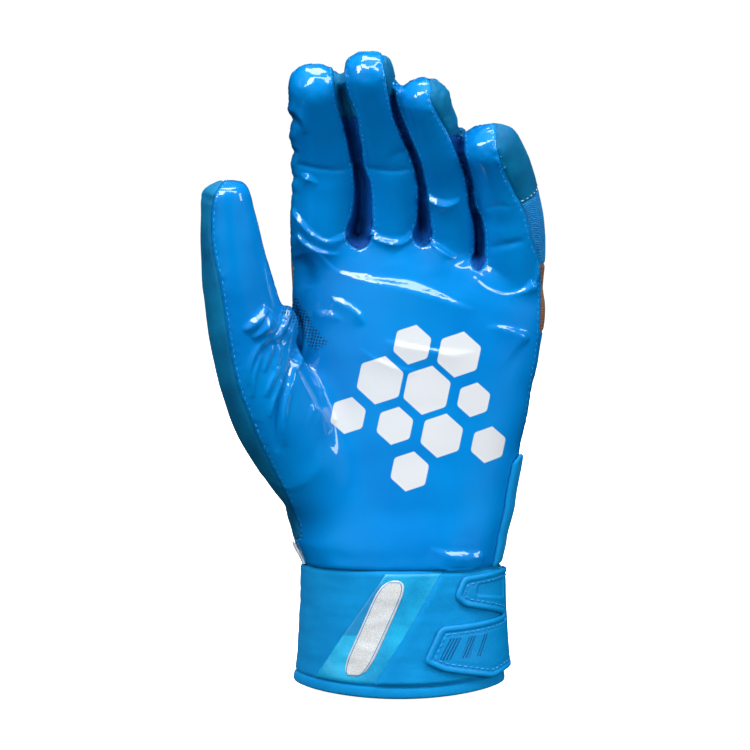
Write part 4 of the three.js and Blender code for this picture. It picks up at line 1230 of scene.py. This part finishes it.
strap = grid_piece("strap_prongs", 300, 108, strap_flat)
write(strap, "outline", inset(*places(strap).T[:2], strap_outline))
trim(strap, "outline")
spots = places(strap)
rim = reading(strap, "outline")
pocket = inset(spots[:, 0], spots[:, 1], pocket_outline)
note(strap, "cloth", spots[:, 0], spots[:, 1], rim)
angle, up = spots[:, 0] / STRAP_DEGREE, spots[:, 1] / CUFF_HEIGHT
raised = (
    0.36 * step(rim, 0, 0.5) * (1 - step(rim, 1.7, 2.2))
    - 0.4 * np.clip(1 - rim / 0.6, 0, 1) ** 2
    - 0.16 * np.exp(-(((rim - 2.4) / 0.4) ** 2))
    + 0.12 * step(rim, 3.6, 5.0)
    - 0.4 * step(pocket, -0.3, 0.4)
)
out = 1.6 + 1.2 + cuff_cloth(angle, up, 4) * 0.5
strap_ends = step(angle, 206, 199)
move(strap, cuff_point(angle, up, out + raised * mix(0.4, 1, strap_ends)))
strap_rows = along_lines(level_lines(strap, "outline", 3.1), 2.5, lambda s: s[:, 1] < 34)
strap_stitches = stitches("strap_stitches", strap_rows, 1.8, 0.55, -0.05)
thicken(strap, 1.2, 60)


# %% The side binding and the side label
def on_hand(name, columns, rows, turns, ups, out, wall, drop, size, tapered=False):
    """A sheet on the palm's form, between two turns round it and two shares of its length."""

    def place(u, v):
        skin_out = out - pillow(u, v, size[0], size[1], drop, 1.4)
        middle = (turns[0] + turns[1]) / 2
        narrow = mix(1, 0.35, step(v, 0.9, 1.0) ** 2) if tapered else 1
        return hand_point(mix(ups[0], ups[1], v), middle + (mix(turns[0], turns[1], u) - middle) * narrow, skin_out)

    return sheet(name, columns, rows, place, wall)


side_strip = on_hand("side_strip", 24, 80, (0.068, -0.012), (0.004, 0.365), 1.6, 1.3, 0.8, (8, 40), tapered=True)
side_tab = on_hand("side_tab", 14, 16, (0.5 - 0.036, 0.498), (0.004, 0.072), 0.9, 0.6, 0.25, (5, 8))

# %% [markdown]
# ## Finishes
# A finish is a small sum of patterns. To write it as a sum, one class wraps a node's output, so that + and * make Math
# nodes, and one method makes any other node.


# %% Sums of node outputs
class Thread:
    """A node's output that can stand in a sum."""

    def __init__(self, finish, output):
        self.finish, self.output = finish, output

    def sum(self, operation, *values):
        return self.finish.node("ShaderNodeMath", {"operation": operation}, *values)

    def __add__(self, other):
        return self.sum("ADD", self, other)

    def __sub__(self, other):
        return self.sum("SUBTRACT", self, other)

    def __rsub__(self, other):
        return self.sum("SUBTRACT", other, self)

    def __mul__(self, other):
        return self.sum("MULTIPLY", self, other)

    def __truediv__(self, other):
        return self.sum("DIVIDE", self, other)

    __radd__, __rmul__ = __add__, __mul__

    def wave(self, length, shift=0.0):
        """A wave from -1 to 1 of this length."""
        return self.sum("SINE", self * (2 * math.pi / length) + shift)

    def size(self):
        return self.sum("ABSOLUTE", self)

    def most(self, other):
        return self.sum("MAXIMUM", self, other)

    def rise(self, low, high):
        """0 at low, 1 at high, smooth between."""
        return self.finish.node("ShaderNodeMapRange", {"interpolation_type": "SMOOTHSTEP"}, self, low, high, 0.0, 1.0)


class Finish:
    """A material made of one Principled shader and the nodes that feed it."""

    def __init__(self, name, **constants):
        self.material = bpy.data.materials.new(name)
        self.material.use_nodes = True
        self.tree = self.material.node_tree
        self.shader = self.tree.nodes["Principled BSDF"]
        for socket, value in constants.items():
            self.shader.inputs[socket.replace("_", " ")].default_value = value

    def node(self, kind, settings=None, *values, out=0, **named):
        made = self.tree.nodes.new(kind)
        for key, value in (settings or {}).items():
            setattr(made, key, value)
        pairs = list(zip(made.inputs, values)) + [(made.inputs[k.replace("_", " ")], v) for k, v in named.items()]
        for socket, value in pairs:
            if isinstance(value, Thread):
                self.tree.links.new(value.output, socket)
            elif value is not None:
                socket.default_value = value
        return Thread(self, made.outputs[out])

    def place(self):
        """Places on the piece in millimetres."""
        at = self.node("ShaderNodeTexCoord", out="Object")
        return self.node("ShaderNodeVectorMath", {"operation": "SCALE"}, at, None, None, 1000.0)

    def cloth(self):
        """Places on the flat cloth, in millimetres."""
        return self.node("ShaderNodeAttribute", {"attribute_name": "cloth"}, out="Vector")

    def parts(self, vector):
        made = self.node("ShaderNodeSeparateXYZ", None, vector)
        return [Thread(self, made.output.node.outputs[k]) for k in range(3)]

    def noise(self, vector, size, detail=2.0, roughness=0.5):
        return self.node("ShaderNodeTexNoise", None, Vector=vector, Scale=1 / size, Detail=detail, Roughness=roughness)

    def blend(self, share, one, other):
        made = self.node("ShaderNodeMix", {"data_type": "RGBA"}, share)
        node = made.output.node
        for socket, value in ((node.inputs[6], one), (node.inputs[7], other)):
            if isinstance(value, Thread):
                self.tree.links.new(value.output, socket)
            else:
                socket.default_value = value
        return Thread(self, node.outputs[2])

    def feed(self, **sockets):
        for name, value in sockets.items():
            self.tree.links.new(value.output, self.shader.inputs[name.replace("_", " ")])
        return self

    def bump(self, height):
        """Relief of the shading only, from a height in millimetres."""
        return self.node("ShaderNodeBump", None, Height=height, Distance=0.001, Strength=1.0)


def paint(red, green, blue):
    """A colour given as on screen, from 0 to 255."""
    line = lambda c: c / 12.92 if c <= 0.04045 else ((c + 0.055) / 1.055) ** 2.4
    return (line(red / 255), line(green / 255), line(blue / 255), 1)


# %% [markdown]
# ### Glossy coated palm
# The palm is a thin sheet coated with a clear tacky film, printed with a cluster of rounded white hexagons and a small
# patch of grip dots by the thumb. The film is nearly a mirror, so the shader has a full coat, and only very fine
# unevenness. The print reads the glove's own x and z, so it lies flat on the palm however the sheet folds.

# %% The coated finish
CELL = 17.5
coated = Finish(
    "coated_film", Roughness=0.35, Specular_IOR_Level=0.12, Coat_Weight=1.0, Coat_Roughness=0.035, Coat_IOR=1.55
)
at = coated.place()
px, py, pz = coated.parts(at)


def nearest_cell(x, z, shift):
    """The offset from the middle of the cell of a row pattern, and that middle."""
    row, line = CELL, CELL * math.sqrt(3)
    dx = x.sum("FLOORED_MODULO", x + shift * row, row) - row / 2
    dz = z.sum("FLOORED_MODULO", z + shift * line, line) - line / 2
    return dx, dz


# the print's own directions, turned by 12 degrees round its middle
across, upward = (px - 10) * 0.978 - (pz - 113) * 0.208, (pz - 113) * 0.978 + (px - 10) * 0.208
ax, az = nearest_cell(across, upward, 0.5)
bx, bz = nearest_cell(across, upward, 0.0)
first = ax.sum("LESS_THAN", ax * ax + az * az, bx * bx + bz * bz)
dx, dz = ax * first + bx * (1 - first), az * first + bz * (1 - first)
middle_x, middle_z = across - dx, upward - dz
far_squared = middle_x * middle_x / 30**2 + (middle_z + 4) * (middle_z + 4) / 31**2
far = far_squared.sum("SQRT", far_squared)
radius = 8.0 - far * far * 3.6 - (middle_x * 0.9 + middle_z * 2.1).wave(47) * 1.3
a, b = dx.size(), dx.size() * 0.5 + dz.size() * 0.866
six = a.sum("SMOOTH_MAX", a, b, 1.4)  # how far out it is in a hexagon with rounded corners
white = (six - radius).rise(0.14, -0.14) * (radius - 1.6).rise(0, 0.01) * (1 - far).rise(-0.02, 0.0) * py.rise(2, -2)
# the cloth's slow change of colour, and the grip dots beside the thumb
slow = coated.noise(at, 30, 2)
blue = coated.blend(slow.rise(0.3, 0.7), paint(0, 111, 186), paint(0, 123, 197))
beside, along = (px + 34.7) * 0.812 + (pz - 136.5) * 0.584, (px + 34.7) * 0.584 - (pz - 136.5) * 0.812
patch = (beside.size() + coated.noise(at, 5, 2) * 5).rise(6.2, 4.6) * along.size().rise(11.5, 9.0)
dots = ((beside + coated.noise(at, 3, 1) * 1.5).wave(1.7) * along.wave(1.5)).rise(0.0, 0.3)
speck = patch * dots * py.rise(2, -2)
colour = coated.blend(speck * 0.9, blue, paint(26, 44, 60))
colour = coated.blend(white, colour, paint(196, 201, 206))
height = coated.noise(at, 2.2, 3) * 0.03 + coated.noise(at, 9, 2) * 0.12 + speck * 0.12
coated.feed(Base_Color=colour, Normal=coated.bump(height))


# %% Woven and knitted finishes
SHEEN = (0.1, 0.5, 0.9, 1)


def woven(name, dark, light, pitch=0.9, rough=0.62, sheen=0.15):
    """A stretch weave: fine ribs along the cloth, crossed by finer ones."""
    made = Finish(name, Roughness=rough, Specular_IOR_Level=0.15, Sheen_Weight=sheen, Sheen_Roughness=0.4)
    made.shader.inputs["Sheen Tint"].default_value = SHEEN
    _, v, _ = made.parts(made.cloth())
    grain = made.noise(made.place(), 0.45, 2)
    ribs = v.wave(pitch) * 0.08 + grain
    slow = made.noise(made.place(), 12, 2)
    return made.feed(
        Base_Color=made.blend((ribs * 0.3 + slow * 0.8).rise(0.2, 0.85), dark, light),
        Normal=made.bump(ribs * 0.05 + made.noise(made.place(), 5, 2) * 0.2),
    )


def knitted(name, dark, light, pitch=1.3, speckle=0.5, rough=0.85, deep=0.12):
    """A knit: rows of small loops, with a lighter speckle where the loops stand up."""
    made = Finish(name, Roughness=rough, Specular_IOR_Level=0.1, Sheen_Weight=0.15, Sheen_Roughness=0.5)
    made.shader.inputs["Sheen Tint"].default_value = SHEEN
    u, v, _ = made.parts(made.cloth())
    grain = made.noise(made.place(), 0.6, 2)
    u, v = u + grain * pitch * 0.5, v + grain * pitch * 0.5
    loops = (u.wave(pitch) * (v + u.wave(pitch).size() * (pitch * 0.25)).wave(pitch * 0.8)).rise(-0.6, 0.9)
    pale = (loops * speckle + made.noise(made.place(), 10, 2) * 0.6 + grain * 0.3).rise(0.25, 1.1)
    return made.feed(Base_Color=made.blend(pale, dark, light), Normal=made.bump(loops * deep + grain * 0.06))


teal = woven("teal_weave", paint(0, 76, 120), paint(4, 110, 156), sheen=0.08)
# the strips' blue cloth is darkened towards black-blue as painted shade of the deep gaps between the fingers
web_cloth_painted_shade = woven("web_weave_painted_shade", paint(0, 40, 104), paint(2, 76, 152), 0.8, 0.6, 0.05)
side_knit = knitted("side_knit", paint(0, 74, 150), paint(40, 140, 204), 0.8, 0.8)
back_knit = knitted("back_knit", paint(2, 84, 152), paint(14, 120, 190), 1.6, 0.5)
band_knit = knitted("band_knit", paint(92, 64, 38), paint(140, 100, 62), 1.2, 0.5)
cuff_knit = knitted("cuff_knit", paint(2, 118, 182), paint(12, 142, 206), 0.75, 0.35, 0.8, 0.05)


def spun(name, dark, light, rough):
    """Sewing thread, with lighter and darker fibres."""
    made = Finish(name, Roughness=rough)
    grain = made.noise(made.place(), 0.4)
    return made.feed(Base_Color=made.blend(grain.rise(0.3, 0.7), dark, light))


thread = spun("thread", paint(0, 92, 178), paint(60, 166, 228), 0.5)
pale_thread = spun("pale_thread", paint(120, 178, 200), paint(196, 222, 230), 0.6)

# %% The satin panel, the strap, the tag and the label
satin = Finish("satin_weave", Roughness=0.3, Sheen_Weight=0.4, Sheen_Roughness=0.3, Specular_IOR_Level=0.7)
at = satin.place()
u, v, w = satin.parts(at)
# painted sheen: fine grain and slow noise lighten the satin's colour in patches, and the fine grain also makes a small
# bump
grain_and_painted_glints = satin.noise(at, 0.35, 2)
slow_painted_sheen = satin.noise(at, 14, 2)
# painted shade: the satin's colour is darkened above and left of a crease
painted_shade_area = (w - 23.8 - u * 0.05).rise(0, 0.6) * ((w - 24) * 0.3 - 12 - u).rise(0, 0.8)
painted_sheen = satin.blend((grain_and_painted_glints * 0.6 + slow_painted_sheen * 0.7).rise(0.4, 0.95), paint(0, 126, 184), paint(30, 182, 228))
satin.feed(
    Base_Color=satin.blend(painted_shade_area * 0.8, painted_sheen, paint(0, 116, 176)),
    Normal=satin.bump(grain_and_painted_glints * 0.05 + (w + u * 0.6).wave(0.6) * 0.02),
)

rubber = Finish("strap_rubber", Roughness=0.45, Specular_IOR_Level=0.25)
u, v, _ = rubber.parts(rubber.cloth())
lean = u - v * 0.55
HATCHED = ((5.9, 4.4), (14.0, 3.6), (21.4, 2.4))  # where each patch starts, and its width
first, second, third = [(lean - at).rise(0, 0.15) * (lean - (at + wide)).rise(0.15, 0) for at, wide in HATCHED]
patches = first.most(second).most(third) * (v - 14.0).rise(0, 0.2) * (v - 21.8).rise(0.2, 0)
lines = (u * 0.85 - v * 0.5).wave(1.1).rise(-0.1, 0.5)
hatch = patches * lines
grain = rubber.noise(rubber.place(), 0.5, 2)
shade = rubber.blend(grain.rise(0.3, 0.7), paint(0, 120, 184), paint(2, 133, 197))
rubber.feed(
    Base_Color=rubber.blend(hatch * 0.8, shade, paint(0, 62, 122)),
    Normal=rubber.bump(grain * 0.04 - hatch * 0.3),
)

silver = Finish("silver_print", Metallic=0.25, Roughness=0.35)
_, _, edge = silver.parts(silver.cloth())
grain = silver.noise(silver.place(), 0.4, 2)
frame_line = edge.rise(0.65, 0.75) * edge.rise(1.05, 0.95)
plain = silver.blend(grain.rise(0.35, 0.65), paint(196, 203, 208), paint(226, 229, 231))
silver.feed(
    Base_Color=silver.blend(frame_line, plain, paint(30, 130, 190)),
    Normal=silver.bump(grain * 0.03),
)
label = woven("white_label", paint(200, 208, 212), paint(232, 236, 238), 0.7, 0.7, 0.1)
print("finishes:", len(bpy.data.materials))

# %% [markdown]
# ## Dressing the frame
# Each piece gets its finish, rides on the one body of this glove, and stands for the CAD nodes whose place it takes.


# %% Cloth coordinates for the weaves
FINGER_ROUND, WRIST_ROUND = 9.0, 33  # mean radii, which turn an angle into millimetres of cloth


def follow_cloth(piece, kind):
    """Cloth places for a panel of the hand, from the nearest vertices' places on the digits or the palm."""
    spots = places(piece)
    if kind == "hand":
        round_side = (spots[:, 1].max() - spots[:, 1]) * step(np.abs(spots[:, 0]), 5, 25) * np.sign(spots[:, 0])
        note(piece, "cloth", spots[:, 0] + round_side, spots[:, 2])
        return
    chosen = [k for k in range(5) if (kind == "thumb") == (k == 4)]
    every = [along_digit(digits[k], spots) for k in chosen]
    best = np.stack([e[3] for e in every]).argmin(0)
    pick = lambda i: np.choose(best, [e[i] for e in every])
    s, a, b = pick(0), pick(1), pick(2)
    note(piece, "cloth", b if kind == "web" else np.arctan2(a, -b) * FINGER_ROUND, s)


follow_cloth(web_strips, "web")
follow_cloth(woven_backs, "finger")
follow_cloth(woven_thumb, "thumb")
for piece in (hand_knit, knuckle_stripe, knuckle_cover):
    follow_cloth(piece, "hand")
for piece in (cuff_body, hem, front_flap, side_strip, side_tab):
    spots = places(piece)
    note(piece, "cloth", np.arctan2(spots[:, 0], -spots[:, 1]) * WRIST_ROUND, spots[:, 2])
spots = places(tag)
around = np.degrees(np.arctan2(spots[:, 0] / (WRIST_BREADTH / 2), -spots[:, 1] / (WRIST_DEPTH / 2)))
height_share = spots[:, 2] / CUFF_HEIGHT
rim = (tag_half(height_share) - np.abs(around - tag_middle(height_share))) * CUFF_DEGREE
end = (TAG_REACH - np.abs(height_share - TAG_MIDDLE)) * CUFF_HEIGHT
note(tag, "cloth", around, spots[:, 2], np.minimum(rim, end))


# %% Finish, body and node of every piece
def dress(piece, finish, slot, *nodes):
    """Gives a piece its finish, tells the frame what it rides on, and hides the CAD nodes it stands for. slot is not
    used.
    """
    piece.data.materials.clear()
    piece.data.materials.append(finish.material)
    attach(piece, "root")
    if nodes:
        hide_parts(*nodes)


dress(coated_palm, coated, "coated", "palm_panel")
dress(web_strips, web_cloth_painted_shade, "stretch", "index_middle_strip", "middle_ring_strip", "ring_little_strip")
dress(woven_backs, teal, "stretch", "index_back", "middle_back", "ring_back", "little_back")
dress(woven_thumb, teal, "stretch", "thumb_back")
dress(hand_knit, back_knit, "knit", "back_of_hand_knit")
dress(knuckle_stripe, band_knit, "band", "knuckle_band")
dress(knuckle_cover, side_knit, "knit", "knuckle_knit")
dress(cuff_body, cuff_knit, "cuff", "cuff")
dress(hem, cuff_knit, "cuff", "hem_binding")
dress(front_flap, cuff_knit, "cuff", "overlap_panel")
dress(satin_sheet, satin, "satin", "satin_panel")
dress(tag, silver, "silver", "silver_tag")
dress(strap, rubber, "strap", "closure_strap")
dress(side_strip, cuff_knit, "cuff", "side_binding")
dress(side_tab, label, "label", "side_label")
dress(seam_stitches, thread, "coated")
dress(back_stitches, pale_thread, "stretch")
dress(strap_stitches, thread, "strap")

# %% The floor
FLOOR_REACH, FLOOR_HEIGHT = 4000, -1.5
backdrop = Finish("backdrop", Roughness=0.9)
tint = backdrop.noise(backdrop.place(), 900, 1)
backdrop.feed(Base_Color=backdrop.blend(tint, (0.93, 0.93, 0.93, 1), (0.95, 0.95, 0.95, 1)))
backdrop.shader.inputs["Emission Color"].default_value = (1, 1, 1, 1)
backdrop.shader.inputs["Emission Strength"].default_value = 1.0


def floor_place(u, v):
    return np.stack([mix(-FLOOR_REACH, FLOOR_REACH, u), mix(-FLOOR_REACH, FLOOR_REACH, v), 0 * u + FLOOR_HEIGHT], -1)


floor = grid_piece("floor_plane", 8, 8, floor_place)
smooth(floor)
floor.data.materials.append(backdrop.material)
floor.visible_glossy = floor.visible_diffuse = floor.visible_transmission = False

# %% The sizes, and the end
bpy.context.view_layer.update()
shown = [o for o in bpy.data.objects if o.type == "MESH" and not o.hide_render]
triangles = {o.name: sum(len(p.vertices) - 2 for p in o.data.polygons) for o in shown}
print("triangles:", triangles, "in all", sum(triangles.values()))
